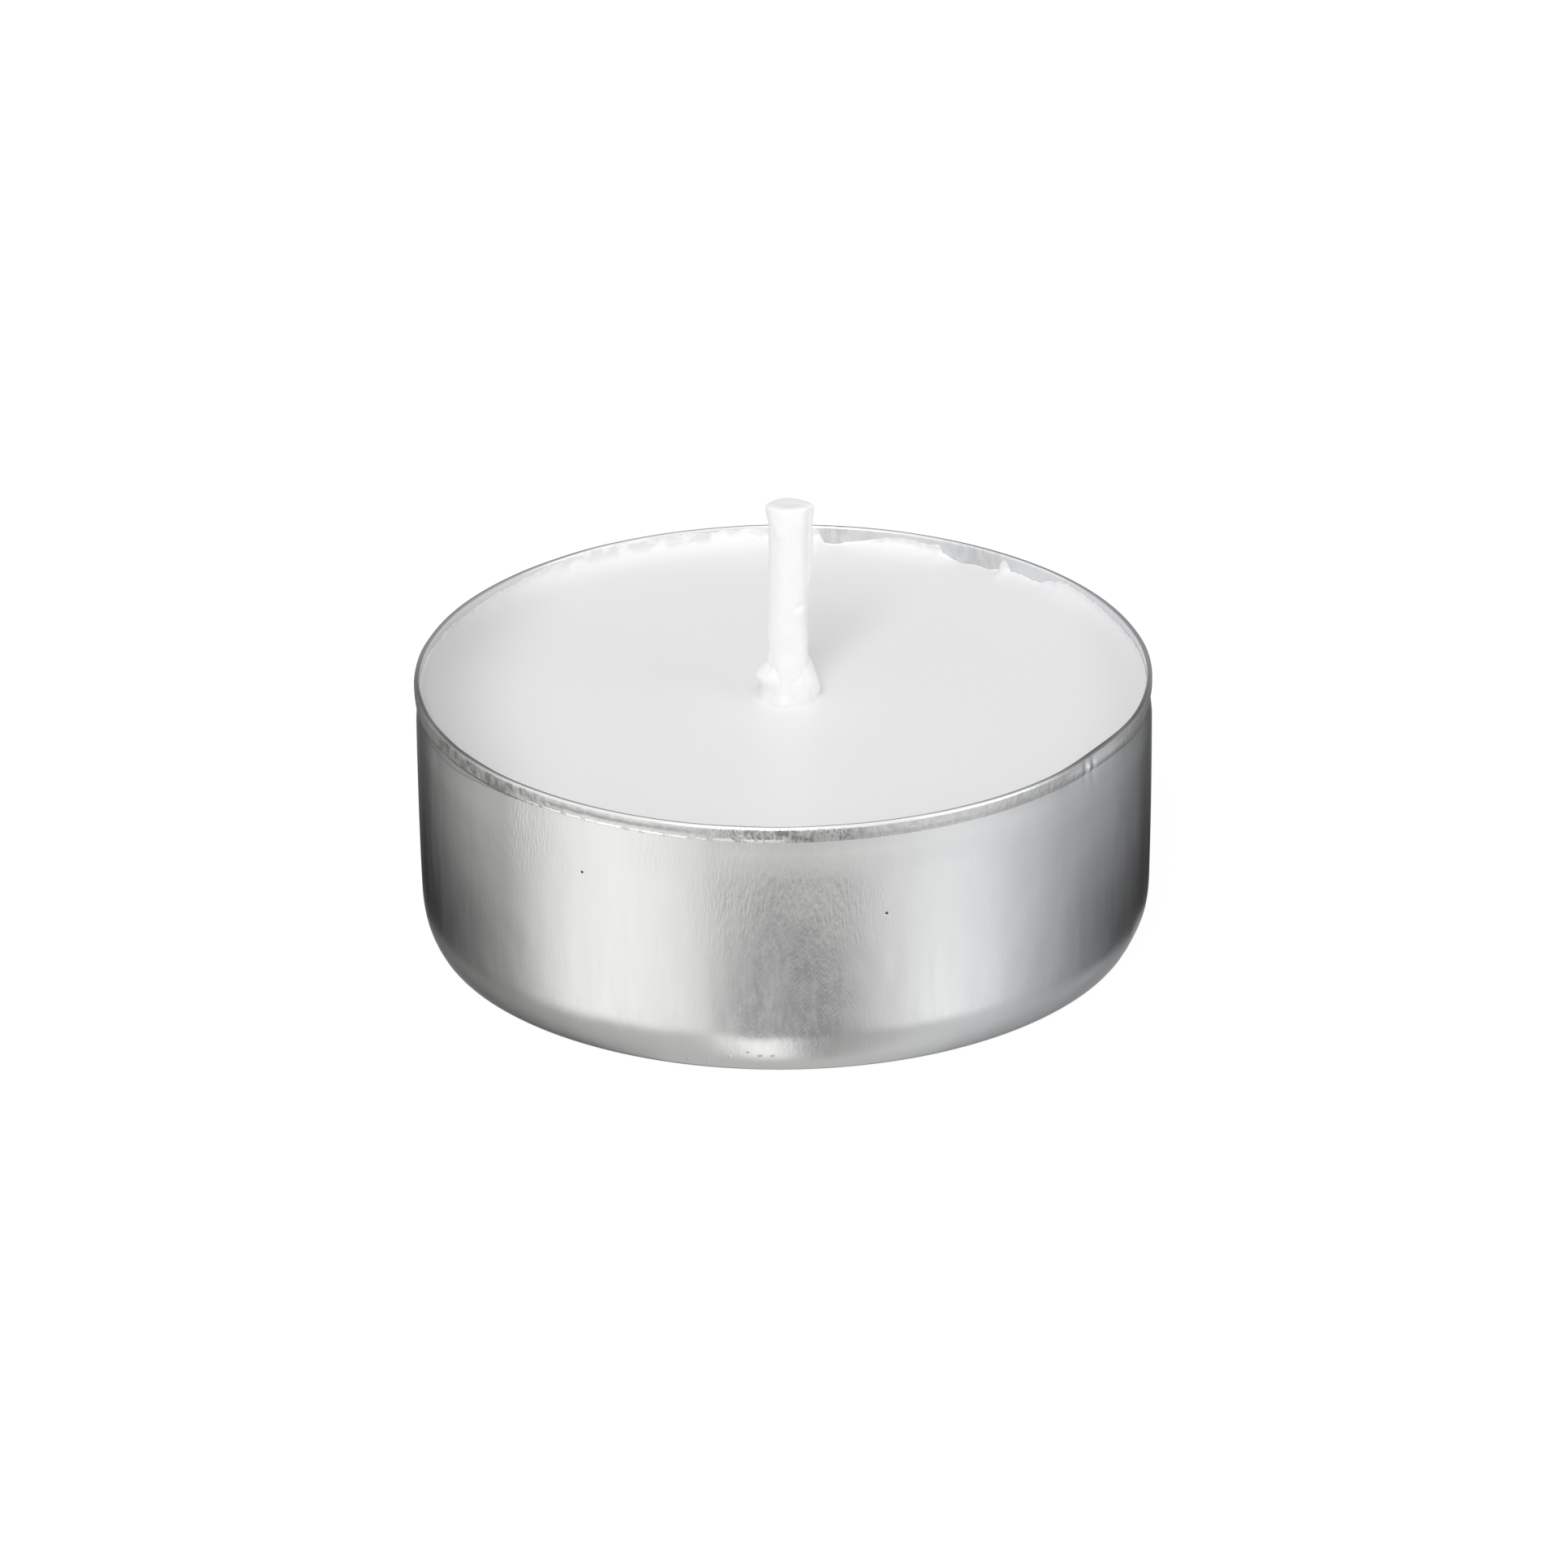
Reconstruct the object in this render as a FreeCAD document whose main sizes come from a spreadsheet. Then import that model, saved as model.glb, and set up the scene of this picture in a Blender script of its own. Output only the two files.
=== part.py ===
import FreeCAD, Part
import math
import os
import Sketcher
from FreeCAD import Vector

# A tea light candle: a drawn foil cup with a folded hem, the wax that was poured into it, and a waxed
# wick that a small steel sustainer holds upright on the cup's floor. All sizes are in millimetres.
# The origin is in the middle of the base, on the surface that the candle stands on, and +Z is up.

SIZES = {
    # Cup
    "foil_thickness": 0.12,
    "wall_radius": 19.08,
    "cup_height": 14.2,
    "hem_depth": 0.85,
    "hem_gap": 0.05,
    "corner_radius": 4.85,
    "corner_turn": 30.0,
    "toe_radius": 0.51,
    "ring_width": 2.7,
    "panel_lift": 0.4,
    # Wax
    "wax_drop": 1.35,
    "dish_rise": 0.2,
    "meniscus_width": 0.8,
    "meniscus_rise": 0.25,
    "collar_radius": 1.72,
    "collar_side": 0.9,
    "collar_height": 2.4,
    "collar_lip": 0.12,
    "collar_foot": 0.35,
    # Wick
    "wick_radius": 1.03,
    "wick_offset": 0.28,
    "wick_height": 10.95,
    "flare_length": 1.3,
    "tip_half_width": 1.24,
    "tip_half_depth": 0.8,
    # Sustainer
    "tab_radius": 6.8,
    "tab_sheet": 0.25,
    "tab_bend": 0.45,
    "neck_root": 0.8,
    "neck_height": 3.0,
    "crimp_half_width": 1.3,
    "crimp_half_depth": 0.68,
}

doc = FreeCAD.newDocument("tea_light_candle")

sheet = doc.addObject("Spreadsheet::Sheet", "Sizes")
for row, (name, value) in enumerate(SIZES.items(), start=1):
    sheet.set(f"A{row}", name)
    sheet.set(f"B{row}", str(value))
    sheet.setAlias(f"B{row}", name)
doc.recompute()

# Places that several pieces share, in the sheet's names
INNER_RADIUS = "(Sizes.wall_radius - Sizes.foil_thickness)"
CUP_FLOOR = "(Sizes.panel_lift + Sizes.foil_thickness)"
WAX_LEVEL = "(Sizes.cup_height - Sizes.wax_drop)"
TAB_TOP = f"({CUP_FLOOR} + Sizes.tab_sheet)"
ROOT_TOP = f"({TAB_TOP} + Sizes.neck_root)"
NECK_TOP = f"({TAB_TOP} + Sizes.neck_height)"
NECK_RADIUS = "(Sizes.wick_radius + Sizes.tab_sheet)"
WICK_TOP = f"({WAX_LEVEL} + Sizes.wick_height)"
FLARE_FOOT = f"({WICK_TOP} - Sizes.flare_length)"

# A sketch's own origin and axes, as its constraints name them
ORIGIN = (-1, 1)
ACROSS = -1
UP = -2


def number(expression):
    """What an expression in the sheet's names comes to."""
    return sheet.evalExpression(expression)


def new_section(body, name):
    """A sketch on a body's upright plane: across is +X and up is +Z."""
    plane = next(item for item in body.Origin.OriginFeatures if item.Role == "XZ_Plane")
    sketch = body.newObject("Sketcher::SketchObject", name)
    sketch.AttachmentSupport = (plane, [""])
    sketch.MapMode = "FlatFace"
    return sketch


def draw_path(sketch, start, heading, moves):
    """Draws lines and arcs end to end, each tangent to the last. A move is a length and no turn, or a
    radius and the degrees that it turns to the left. Gives each edge with its first and last point."""
    place = Vector(*start)
    heading = math.radians(heading)
    edges = []
    for reach, turn in moves:
        ahead = Vector(math.cos(heading), math.sin(heading))
        if turn == 0:
            end = place + ahead * reach
            edges.append((sketch.addGeometry(Part.LineSegment(place, end)), 1, 2))
        else:
            side = math.copysign(1, turn)
            centre = place + Vector(-ahead.y, ahead.x) * (reach * side)
            first = heading - side * math.pi / 2
            last = first + math.radians(turn)
            circle = Part.Circle(centre, Vector(0, 0, 1), reach)
            arc = Part.ArcOfCircle(circle, min(first, last), max(first, last))
            ends = (1, 2) if turn > 0 else (2, 1)
            edges.append((sketch.addGeometry(arc), *ends))
            end = centre + Vector(math.cos(last), math.sin(last)) * reach
            heading += math.radians(turn)
        place = end
    for (edge, _, tail), (following, head, _) in zip(edges, edges[1:]):
        hold(sketch, "Tangent", edge, tail, following, head)
    return edges


def draw_lines(sketch, points):
    """Joins the points with straight lines, and gives the lines."""
    lines = []
    for start, end in zip(points, points[1:]):
        lines.append(sketch.addGeometry(Part.LineSegment(Vector(*start), Vector(*end))))
    for line, following in zip(lines, lines[1:]):
        hold(sketch, "Coincident", line, 2, following, 1)
    return lines


def hold(sketch, kind, *places):
    """Adds a constraint that has no size."""
    sketch.addConstraint(Sketcher.Constraint(kind, *places))


def measure(sketch, name, kind, places, expression):
    """Adds a dimension and ties it to the sheet."""
    value = number(expression)
    if kind == "Angle":
        value = math.radians(value)
        expression = f"{expression} * 1 deg"
    index = sketch.addConstraint(Sketcher.Constraint(kind, *places, value))
    sketch.renameConstraint(index, name)
    sketch.setExpression("Constraints." + name, expression)


def turn_round(body, name, profile, axis):
    """Revolves a section about one of its axes."""
    turned = body.newObject("PartDesign::Revolution", name)
    turned.Profile = profile
    turned.ReferenceAxis = (profile, [axis])
    turned.Angle = 360


def draw_foil_skin(sketch, skin, inset, wall_top, further=()):
    """Draws one skin of the foil, from the middle of the base out to the wall and up it, and then the
    further moves. The inset is how far this skin lies inside the foil's outside."""
    depth = number(inset)
    lift = SIZES["panel_lift"]
    ring = SIZES["ring_width"]
    toe = SIZES["toe_radius"]
    toe_turn = 90 - SIZES["corner_turn"]
    corner = SIZES["corner_radius"]
    corner_turn = SIZES["corner_turn"]
    step_turn = 60
    step_run = 2 * lift * math.sin(math.radians(step_turn))
    toe_run = toe * math.sin(math.radians(toe_turn))
    corner_run = corner * (1 - math.cos(math.radians(corner_turn)))
    toe_rise = toe * (1 - math.cos(math.radians(toe_turn)))
    corner_rise = corner * math.sin(math.radians(corner_turn))
    moves = [
        (SIZES["wall_radius"] - corner_run - toe_run - ring - step_run, 0),
        (lift + depth, -step_turn),
        (lift - depth, step_turn),
        (ring, 0),
        (toe - depth, toe_turn),
        (corner - depth, corner_turn),
        (number(wall_top) - toe_rise - corner_rise, 0),
        *further,
    ]
    edges = draw_path(sketch, (0, lift + depth), 0, moves)
    panel, step_down, step_out, ring, toe, corner, wall = (edge for edge, _, _ in edges[:7])
    hold(sketch, "PointOnObject", panel, 1, UP)
    hold(sketch, "Horizontal", panel)
    hold(sketch, "Horizontal", ring)
    hold(sketch, "Vertical", wall)
    if depth:
        measure(sketch, f"{skin}_ring", "DistanceY", (*ORIGIN, ring, 1), inset)
    else:
        hold(sketch, "PointOnObject", ring, 1, ACROSS)
    lift = "Sizes.panel_lift"
    measure(sketch, f"{skin}_panel", "DistanceY", (*ORIGIN, panel, 1), f"{lift} + {inset}")
    measure(sketch, f"{skin}_step_down", "Radius", (step_down,), f"{lift} + {inset}")
    measure(sketch, f"{skin}_step_out", "Radius", (step_out,), f"{lift} - {inset}")
    measure(sketch, f"{skin}_ring_width", "DistanceX", (ring, 1, ring, 2), "Sizes.ring_width")
    measure(sketch, f"{skin}_toe", "Radius", (toe,), f"Sizes.toe_radius - {inset}")
    measure(sketch, f"{skin}_corner", "Radius", (corner,), f"Sizes.corner_radius - {inset}")
    measure(sketch, f"{skin}_corner_turn", "Angle", (corner,), "Sizes.corner_turn")
    measure(sketch, f"{skin}_wall", "DistanceX", (*ORIGIN, wall, 1), f"Sizes.wall_radius - {inset}")
    measure(sketch, f"{skin}_wall_top", "DistanceY", (*ORIGIN, wall, 2), wall_top)
    return edges


def make_cup():
    """One sheet of foil: flat base with a pressed-up panel, soft corner and straight wall. The rim goes
    over outwards into a flattened hem, whose raw edge stands just off the wall."""
    cup = doc.addObject("PartDesign::Body", "cup")
    section = new_section(cup, "cup_section")
    fold_foot = "Sizes.cup_height - Sizes.foil_thickness - Sizes.hem_gap / 2"
    raw_edge = "Sizes.cup_height - Sizes.hem_depth"
    flap_length = number(f"{fold_foot} - ({raw_edge})")
    ends = []
    for skin, inset in (("outside", "0"), ("inside", "Sizes.foil_thickness")):
        bend = f"Sizes.hem_gap / 2 + {inset}"
        hem = [(number(bend), -180), (flap_length, 0)]
        edges = draw_foil_skin(section, skin, inset, fold_foot, hem)
        fold, flap = edges[-2][0], edges[-1][0]
        hold(section, "Vertical", flap)
        measure(section, f"{skin}_fold", "Radius", (fold,), bend)
        measure(section, f"{skin}_raw_edge", "DistanceY", (*ORIGIN, flap, 2), raw_edge)
        ends.append((edges[0][0], flap))
    (outside_panel, outside_flap), (inside_panel, inside_flap) = ends
    for first, second, point in ((outside_panel, inside_panel, 1), (outside_flap, inside_flap, 2)):
        corners = [section.getPoint(edge, point) for edge in (first, second)]
        (line,) = draw_lines(section, corners)
        hold(section, "Coincident", line, 1, first, point)
        hold(section, "Coincident", line, 2, second, point)
    turn_round(cup, "drawn_foil", section, "V_Axis")
    return cup


def pour_wax(block):
    """The wax as it set in the cup: it fills the foil to the wall, and its top is dished, with a thin
    meniscus at the wall."""
    section = new_section(block, "poured_section")
    dish_edge = f"{WAX_LEVEL} + Sizes.dish_rise"
    wall_edge = f"{dish_edge} + Sizes.meniscus_rise"
    edges = draw_foil_skin(section, "foil", "Sizes.foil_thickness", wall_edge)
    panel, wall = edges[0][0], edges[-1][0]
    dish_reach = number(f"{INNER_RADIUS} - Sizes.meniscus_width")
    dish_radius = (dish_reach**2 + SIZES["dish_rise"] ** 2) / (2 * SIZES["dish_rise"])
    dish_turn = math.degrees(math.asin(dish_reach / dish_radius))
    width = SIZES["meniscus_width"]
    rise = SIZES["meniscus_rise"]
    curl_radius = (width**2 + rise**2) / (2 * rise)
    curl_turn = math.degrees(math.asin(width / curl_radius)) - dish_turn
    top = draw_path(section, (0, number(WAX_LEVEL)), 0, [(dish_radius, dish_turn), (curl_radius, curl_turn)])
    dish, meniscus = top[0][0], top[1][0]
    (axis,) = draw_lines(section, [(0, number(CUP_FLOOR)), (0, number(WAX_LEVEL))])
    hold(section, "Coincident", axis, 1, panel, 1)
    hold(section, "Coincident", axis, 2, dish, 1)
    hold(section, "Coincident", meniscus, 2, wall, 2)
    hold(section, "PointOnObject", axis, 2, UP)
    hold(section, "PointOnObject", dish, 3, UP)
    measure(section, "level", "DistanceY", (*ORIGIN, dish, 1), WAX_LEVEL)
    measure(section, "dish_edge", "DistanceY", (*ORIGIN, dish, 2), dish_edge)
    measure(section, "meniscus", "DistanceX", (meniscus, 1, meniscus, 2), "Sizes.meniscus_width")
    turn_round(block, "poured_wax", section, "V_Axis")


def raise_collar(block):
    """The wax that climbed the wick: a steep side, a shoulder, and a thin lip where it meets the wick. It
    is turned about the wick's own axis, and starts inside the poured wax, at the sustainer's disc."""
    section = new_section(block, "collar_section")
    centre = "Sizes.wick_offset"
    side_across = f"{centre} + Sizes.collar_radius"
    side_top = f"{WAX_LEVEL} + Sizes.collar_side"
    lip_across = f"{centre} + Sizes.wick_radius + Sizes.collar_lip"
    lip_top = f"{WAX_LEVEL} + Sizes.collar_height"
    run = number(f"{side_across} - ({lip_across})")
    rise = number("Sizes.collar_height - Sizes.collar_side")
    bend = 2 * math.atan(run / rise)
    radius = rise / (2 * math.sin(bend))
    turn = math.degrees(bend)
    foot = Vector(number(side_across), number(TAB_TOP))
    axis_foot = Vector(number(centre), number(TAB_TOP))
    axis_top = Vector(number(centre), number(lip_top))
    path = draw_path(section, foot, 90, [(number(side_top) - foot.y, 0), (radius, turn), (radius, -turn)])
    side, shoulder, throat = (edge for edge, _, _ in path)
    throat_end = path[2][2]
    lip = section.getPoint(throat, throat_end)
    top, axis, bottom = draw_lines(section, [lip, axis_top, axis_foot, foot])
    hold(section, "Coincident", top, 1, throat, throat_end)
    hold(section, "Coincident", bottom, 2, side, 1)
    hold(section, "Vertical", side)
    hold(section, "Vertical", axis)
    hold(section, "Horizontal", top)
    hold(section, "Horizontal", bottom)
    hold(section, "Equal", shoulder, throat)
    hold(section, "Horizontal", throat, 3, throat, throat_end)
    measure(section, "foot", "DistanceY", (*ORIGIN, side, 1), TAB_TOP)
    measure(section, "side", "DistanceX", (*ORIGIN, side, 1), side_across)
    measure(section, "side_top", "DistanceY", (*ORIGIN, side, 2), side_top)
    measure(section, "lip", "DistanceX", (*ORIGIN, top, 1), lip_across)
    measure(section, "lip_top", "DistanceY", (*ORIGIN, top, 1), lip_top)
    measure(section, "centre", "DistanceX", (*ORIGIN, axis, 1), centre)
    spine = section.addGeometry(Part.LineSegment(axis_foot, axis_top), True)
    hold(section, "Coincident", spine, 1, axis, 2)
    hold(section, "Coincident", spine, 2, axis, 1)
    turn_round(block, "climbed_wax", section, "Axis0")


def round_collar_foot(block):
    """Where the collar meets the dished top, the wax runs out in a small concave curve."""
    doc.recompute()
    level = number(WAX_LEVEL)
    across = number("2 * Sizes.collar_radius")
    slack = min(SIZES["dish_rise"], SIZES["collar_side"]) / 2
    casting = block.Tip
    for index, edge in enumerate(casting.Shape.Edges, start=1):
        box = edge.BoundBox
        if abs(box.Center.z - level) < slack and abs(box.YLength - across) < slack:
            foot = block.newObject("PartDesign::Fillet", "collar_foot")
            foot.Base = (casting, [f"Edge{index}"])
            foot.setExpression("Radius", "Sizes.collar_foot")
            return
    raise RuntimeError("the collar's foot wasn't found")


def make_ring(name, half_width, half_depth, height):
    """An oval round the wick's axis, for a loft to pass through."""
    ring = doc.addObject("Part::Ellipse", name)
    ring.setExpression("MajorRadius", half_width)
    ring.setExpression("MinorRadius", half_depth)
    ring.setExpression("Placement.Base.x", "Sizes.wick_offset")
    ring.setExpression("Placement.Base.z", height)
    return ring


def make_rod(name, radius, low, high):
    """A round length on the wick's axis."""
    rod = doc.addObject("Part::Cylinder", name)
    rod.setExpression("Radius", radius)
    rod.setExpression("Height", f"{high} - {low}")
    rod.setExpression("Placement.Base.x", "Sizes.wick_offset")
    rod.setExpression("Placement.Base.z", low)
    return rod


def make_loft(name, rings):
    """A closed solid through the rings, from the lowest to the highest."""
    loft = doc.addObject("Part::Loft", name)
    loft.Sections = rings
    loft.Solid = True
    return loft


def make_crimp(name, wall):
    """The length that the crimping tool squeezed oval: of the wick with no wall, or round the neck."""
    crimp_height = f"({ROOT_TOP} + {NECK_TOP}) / 2"
    round_radius = f"Sizes.wick_radius + {wall}"
    rings = [
        make_ring(f"{name}_low", round_radius, round_radius, ROOT_TOP),
        make_ring(
            f"{name}_middle", f"Sizes.crimp_half_width + {wall}", f"Sizes.crimp_half_depth + {wall}", crimp_height
        ),
        make_ring(f"{name}_high", round_radius, round_radius, NECK_TOP),
    ]
    return make_loft(name, rings)


def make_wick():
    """The braided cotton wick with its coat of wax. It runs from the sustainer's underside, through the
    crimp, and up to its cut end, which the cutter pressed flat and spread."""
    radius = "Sizes.wick_radius"
    tip = [
        make_ring("tip_foot", radius, radius, FLARE_FOOT),
        make_ring("tip_cut", "Sizes.tip_half_width", "Sizes.tip_half_depth", WICK_TOP),
    ]
    wick = doc.addObject("Part::MultiFuse", "wick")
    wick.Shapes = [
        make_rod("wick_foot", radius, CUP_FLOOR, ROOT_TOP),
        make_crimp("wick_crimp", "0"),
        make_rod("wick_shank", radius, NECK_TOP, FLARE_FOOT),
        make_loft("wick_tip", tip),
    ]
    return wick


def make_sustainer(wick):
    """A disc stamped from thin steel, with a neck drawn up in its middle and crimped on the wick."""
    disc = doc.addObject("PartDesign::Body", "sustainer_disc")
    section = new_section(disc, "disc_section")
    low, top = number(CUP_FLOOR), number(TAB_TOP)
    edge, neck, bend = SIZES["tab_radius"], number(NECK_RADIUS), SIZES["tab_bend"]
    centre = Vector(neck + bend, top + bend)
    arc = Part.ArcOfCircle(Part.Circle(centre, Vector(0, 0, 1), bend), math.pi, 1.5 * math.pi)
    root = number(ROOT_TOP)
    corners = [(neck, top + bend), (neck, root), (0, root), (0, low), (edge, low), (edge, top), (neck + bend, top)]
    side, cap, axis, under, rim, face = draw_lines(section, corners)
    bend_arc = section.addGeometry(arc)
    hold(section, "Tangent", bend_arc, 1, side, 1)
    hold(section, "Tangent", bend_arc, 2, face, 2)
    hold(section, "Vertical", side)
    hold(section, "Vertical", rim)
    for line in (cap, under, face):
        hold(section, "Horizontal", line)
    hold(section, "PointOnObject", axis, 1, UP)
    hold(section, "PointOnObject", axis, 2, UP)
    measure(section, "bend", "Radius", (bend_arc,), "Sizes.tab_bend")
    measure(section, "underside", "DistanceY", (*ORIGIN, under, 1), CUP_FLOOR)
    measure(section, "face", "DistanceY", (*ORIGIN, face, 1), TAB_TOP)
    measure(section, "rim", "DistanceX", (*ORIGIN, rim, 1), "Sizes.tab_radius")
    measure(section, "root", "DistanceX", (*ORIGIN, side, 2), NECK_RADIUS)
    measure(section, "root_top", "DistanceY", (*ORIGIN, side, 2), ROOT_TOP)
    turn_round(disc, "stamped_disc", section, "V_Axis")
    disc.setExpression("Placement.Base.x", "Sizes.wick_offset")

    blank = doc.addObject("Part::Fuse", "sustainer_blank")
    blank.Base = disc
    blank.Tool = make_crimp("neck_crimp", "Sizes.tab_sheet")
    sustainer = doc.addObject("Part::Cut", "wick_sustainer")
    sustainer.Base = blank
    sustainer.Tool = wick
    return sustainer


def make_wax(sustainer, wick):
    """One casting, with the places of the sustainer and the wick taken out of it."""
    block = doc.addObject("PartDesign::Body", "wax_block")
    pour_wax(block)
    raise_collar(block)
    round_collar_foot(block)
    round_sustainer = doc.addObject("Part::Cut", "wax_round_sustainer")
    round_sustainer.Base = block
    round_sustainer.Tool = sustainer
    wax = doc.addObject("Part::Cut", "wax")
    wax.Base = round_sustainer
    wax.Tool = wick
    return wax


cup = make_cup()
wick = make_wick()
sustainer = make_sustainer(wick)
wax = make_wax(sustainer, wick)
doc.recompute()

for item in doc.Objects:
    if "Invalid" in item.State or "Error" in item.State:
        raise RuntimeError(f"{item.Label} failed: {item.State}")

os.makedirs("parts", exist_ok=True)
for piece in (cup, wax, wick, sustainer):
    if piece.Shape.isNull() or not piece.Shape.isValid():
        raise RuntimeError(f"{piece.Label} is not a valid shape")
    piece.Shape.exportStep(f"parts/{piece.Label}.step")
    box = piece.Shape.optimalBoundingBox()
    print(f"{piece.Label}: {len(piece.Shape.Solids)} solid, {piece.Shape.Volume:.2f} mm3, {box}")
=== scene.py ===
import math

import bmesh
import bpy
import numpy as np
from mathutils import Matrix, Vector


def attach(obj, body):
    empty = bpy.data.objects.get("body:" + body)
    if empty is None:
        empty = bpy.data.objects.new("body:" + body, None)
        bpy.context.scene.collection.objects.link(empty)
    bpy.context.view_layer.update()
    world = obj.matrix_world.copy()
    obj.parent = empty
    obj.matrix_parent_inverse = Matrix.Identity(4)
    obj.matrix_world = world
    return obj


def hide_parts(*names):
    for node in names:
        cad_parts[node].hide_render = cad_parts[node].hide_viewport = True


# A tea light candle in its foil cup. All sizes are in metres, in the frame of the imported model: the
# origin is in the middle of the base and +Z is up. The camera looks along +Y, down on the candle.
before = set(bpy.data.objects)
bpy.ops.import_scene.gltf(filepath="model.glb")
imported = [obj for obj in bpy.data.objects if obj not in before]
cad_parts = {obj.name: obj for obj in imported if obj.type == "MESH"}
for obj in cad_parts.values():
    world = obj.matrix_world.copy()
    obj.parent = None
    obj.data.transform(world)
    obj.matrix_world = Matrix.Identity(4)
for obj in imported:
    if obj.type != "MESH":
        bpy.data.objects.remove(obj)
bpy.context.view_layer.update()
MM = 0.001
scene = bpy.context.scene


# The photographer's camera. A long lens a good way off looks down on the candle, a little turned on
# its own axis, as the leaning outline in the photograph shows.
CAMERA_DISTANCE = 0.7
CAMERA_ELEVATION = math.radians(25.4)
CAMERA_ROLL = math.radians(0.53)
CAMERA_LENS = 306.0
SENSOR_WIDTH = 36.0
PHOTO_SIDE = 1932
BASE_IN_PHOTO = (967.3, 1131.6)

focal_pixels = CAMERA_LENS / SENSOR_WIDTH * PHOTO_SIDE
off_centre = Vector(
    (
        (BASE_IN_PHOTO[0] - PHOTO_SIDE / 2) / focal_pixels,
        (PHOTO_SIDE / 2 - BASE_IN_PHOTO[1]) / focal_pixels,
        -1,
    )
)
back = Vector((0, -math.cos(CAMERA_ELEVATION), math.sin(CAMERA_ELEVATION)))
up = Vector((0, math.sin(CAMERA_ELEVATION), math.cos(CAMERA_ELEVATION)))
level = Matrix((Vector((1, 0, 0)), up, back)).transposed()
aim = off_centre.rotation_difference(Vector((0, 0, -1))).to_matrix()

camera = bpy.data.objects.new("camera", bpy.data.cameras.new("camera"))
camera.data.lens = CAMERA_LENS
camera.data.sensor_width = SENSOR_WIDTH
camera.data.clip_start = 0.01
camera.location = back * CAMERA_DISTANCE
camera.rotation_euler = (level @ Matrix.Rotation(-CAMERA_ROLL, 3, "Z") @ aim).to_euler()
scene.collection.objects.link(camera)
scene.camera = camera
scene.view_settings.view_transform = "Standard"


# The studio: a tent of white cloth with a soft light on each side of the camera. What the foil mirrors
# of it runs round the candle in soft bright and dark stretches. Each ring of the tent is given as stops:
# an azimuth in degrees, from the camera's side and to the right, and a grey.
WALL_STOPS = (
    (-180, 0.42),
    (-172, 0.20),
    (-163, 0.08),
    (-150, 0.10),
    (-135, 0.21),
    (-112, 0.38),
    (-94, 0.47),
    (-76, 0.76),
    (-60, 0.93),
    (-44, 0.88),
    (-28, 0.73),
    (-13, 0.56),
    (2, 0.53),
    (16, 0.56),
    (32, 0.65),
    (46, 0.75),
    (58, 0.74),
    (74, 0.62),
    (92, 0.44),
    (110, 0.34),
    (128, 0.25),
    (150, 0.14),
    (163, 0.08),
    (172, 0.20),
    (180, 0.42),
)
LOW_STOPS = (
    (-180, 0.36),
    (-163, 0.13),
    (-135, 0.19),
    (-112, 0.28),
    (-94, 0.40),
    (-79, 0.80),
    (-62, 1.00),
    (-44, 1.00),
    (-28, 0.75),
    (-14, 0.20),
    (2, 0.135),
    (16, 0.25),
    (32, 0.67),
    (46, 0.97),
    (58, 0.92),
    (74, 0.61),
    (92, 0.40),
    (110, 0.32),
    (128, 0.22),
    (150, 0.17),
    (180, 0.36),
)
FOOT_STOPS = (
    (-180, 0.30),
    (-150, 0.13),
    (-130, 0.17),
    (-115, 0.22),
    (-100, 0.29),
    (-87, 0.35),
    (-71, 0.41),
    (-46, 0.47),
    (-34, 0.49),
    (-24, 0.64),
    (-12, 1.02),
    (-2, 0.98),
    (9, 0.38),
    (25, 0.38),
    (39, 0.48),
    (53, 0.56),
    (70, 0.54),
    (90, 0.46),
    (110, 0.35),
    (127, 0.31),
    (145, 0.24),
    (180, 0.30),
)
EYE_LEVEL_STOPS = (
    (-180, 0.28),
    (-152, 0.28),
    (-128, 0.42),
    (-112, 0.60),
    (-98, 0.92),
    (80, 0.92),
    (94, 0.66),
    (112, 0.46),
    (132, 0.38),
    (152, 0.28),
    (180, 0.28),
)
UNDERSIDE = 0.48
CEILING = 0.95
# Where one ring gives way to the next, as sines of the angle below eye level, or above it for the ceiling
EYE_LEVEL_END = (0.30, 0.05)
LOW_START = (0.430, 0.475)
FOOT_START = (0.475, 0.61)
UNDERSIDE_START = (0.87, 0.98)
CEILING_START = (0.80, 0.95)
TENT_LIGHT = 1.17
DAYLIGHT = 0.60


def calc(tree, operation, *values):
    """A Math node. A value is a number or another node's output."""
    node = tree.nodes.new("ShaderNodeMath")
    node.operation = operation
    for socket, value in zip(node.inputs, values):
        if isinstance(value, (int, float)):
            socket.default_value = value
        else:
            tree.links.new(value, socket)
    return node.outputs[0]


def ease(tree, value, low, high):
    """0 up to low, 1 from high, and a smooth rise between them."""
    node = tree.nodes.new("ShaderNodeMapRange")
    node.interpolation_type = "SMOOTHSTEP"
    tree.links.new(value, node.inputs["Value"])
    node.inputs["From Min"].default_value = low
    node.inputs["From Max"].default_value = high
    return node.outputs["Result"]


def ramp_round(tree, turn, stops):
    """Levels of grey that follow the azimuth, given in degrees from the camera's side."""
    node = tree.nodes.new("ShaderNodeValToRGB")
    node.color_ramp.interpolation = "CARDINAL"
    elements = node.color_ramp.elements
    while len(elements) < len(stops):
        elements.new(0.5)
    for element, (azimuth, grey) in zip(elements, stops):
        element.position = azimuth / 360 + 0.5
        element.color = (grey, grey, grey, 1)
    tree.links.new(turn, node.inputs["Fac"])
    return node.outputs["Color"]


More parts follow.
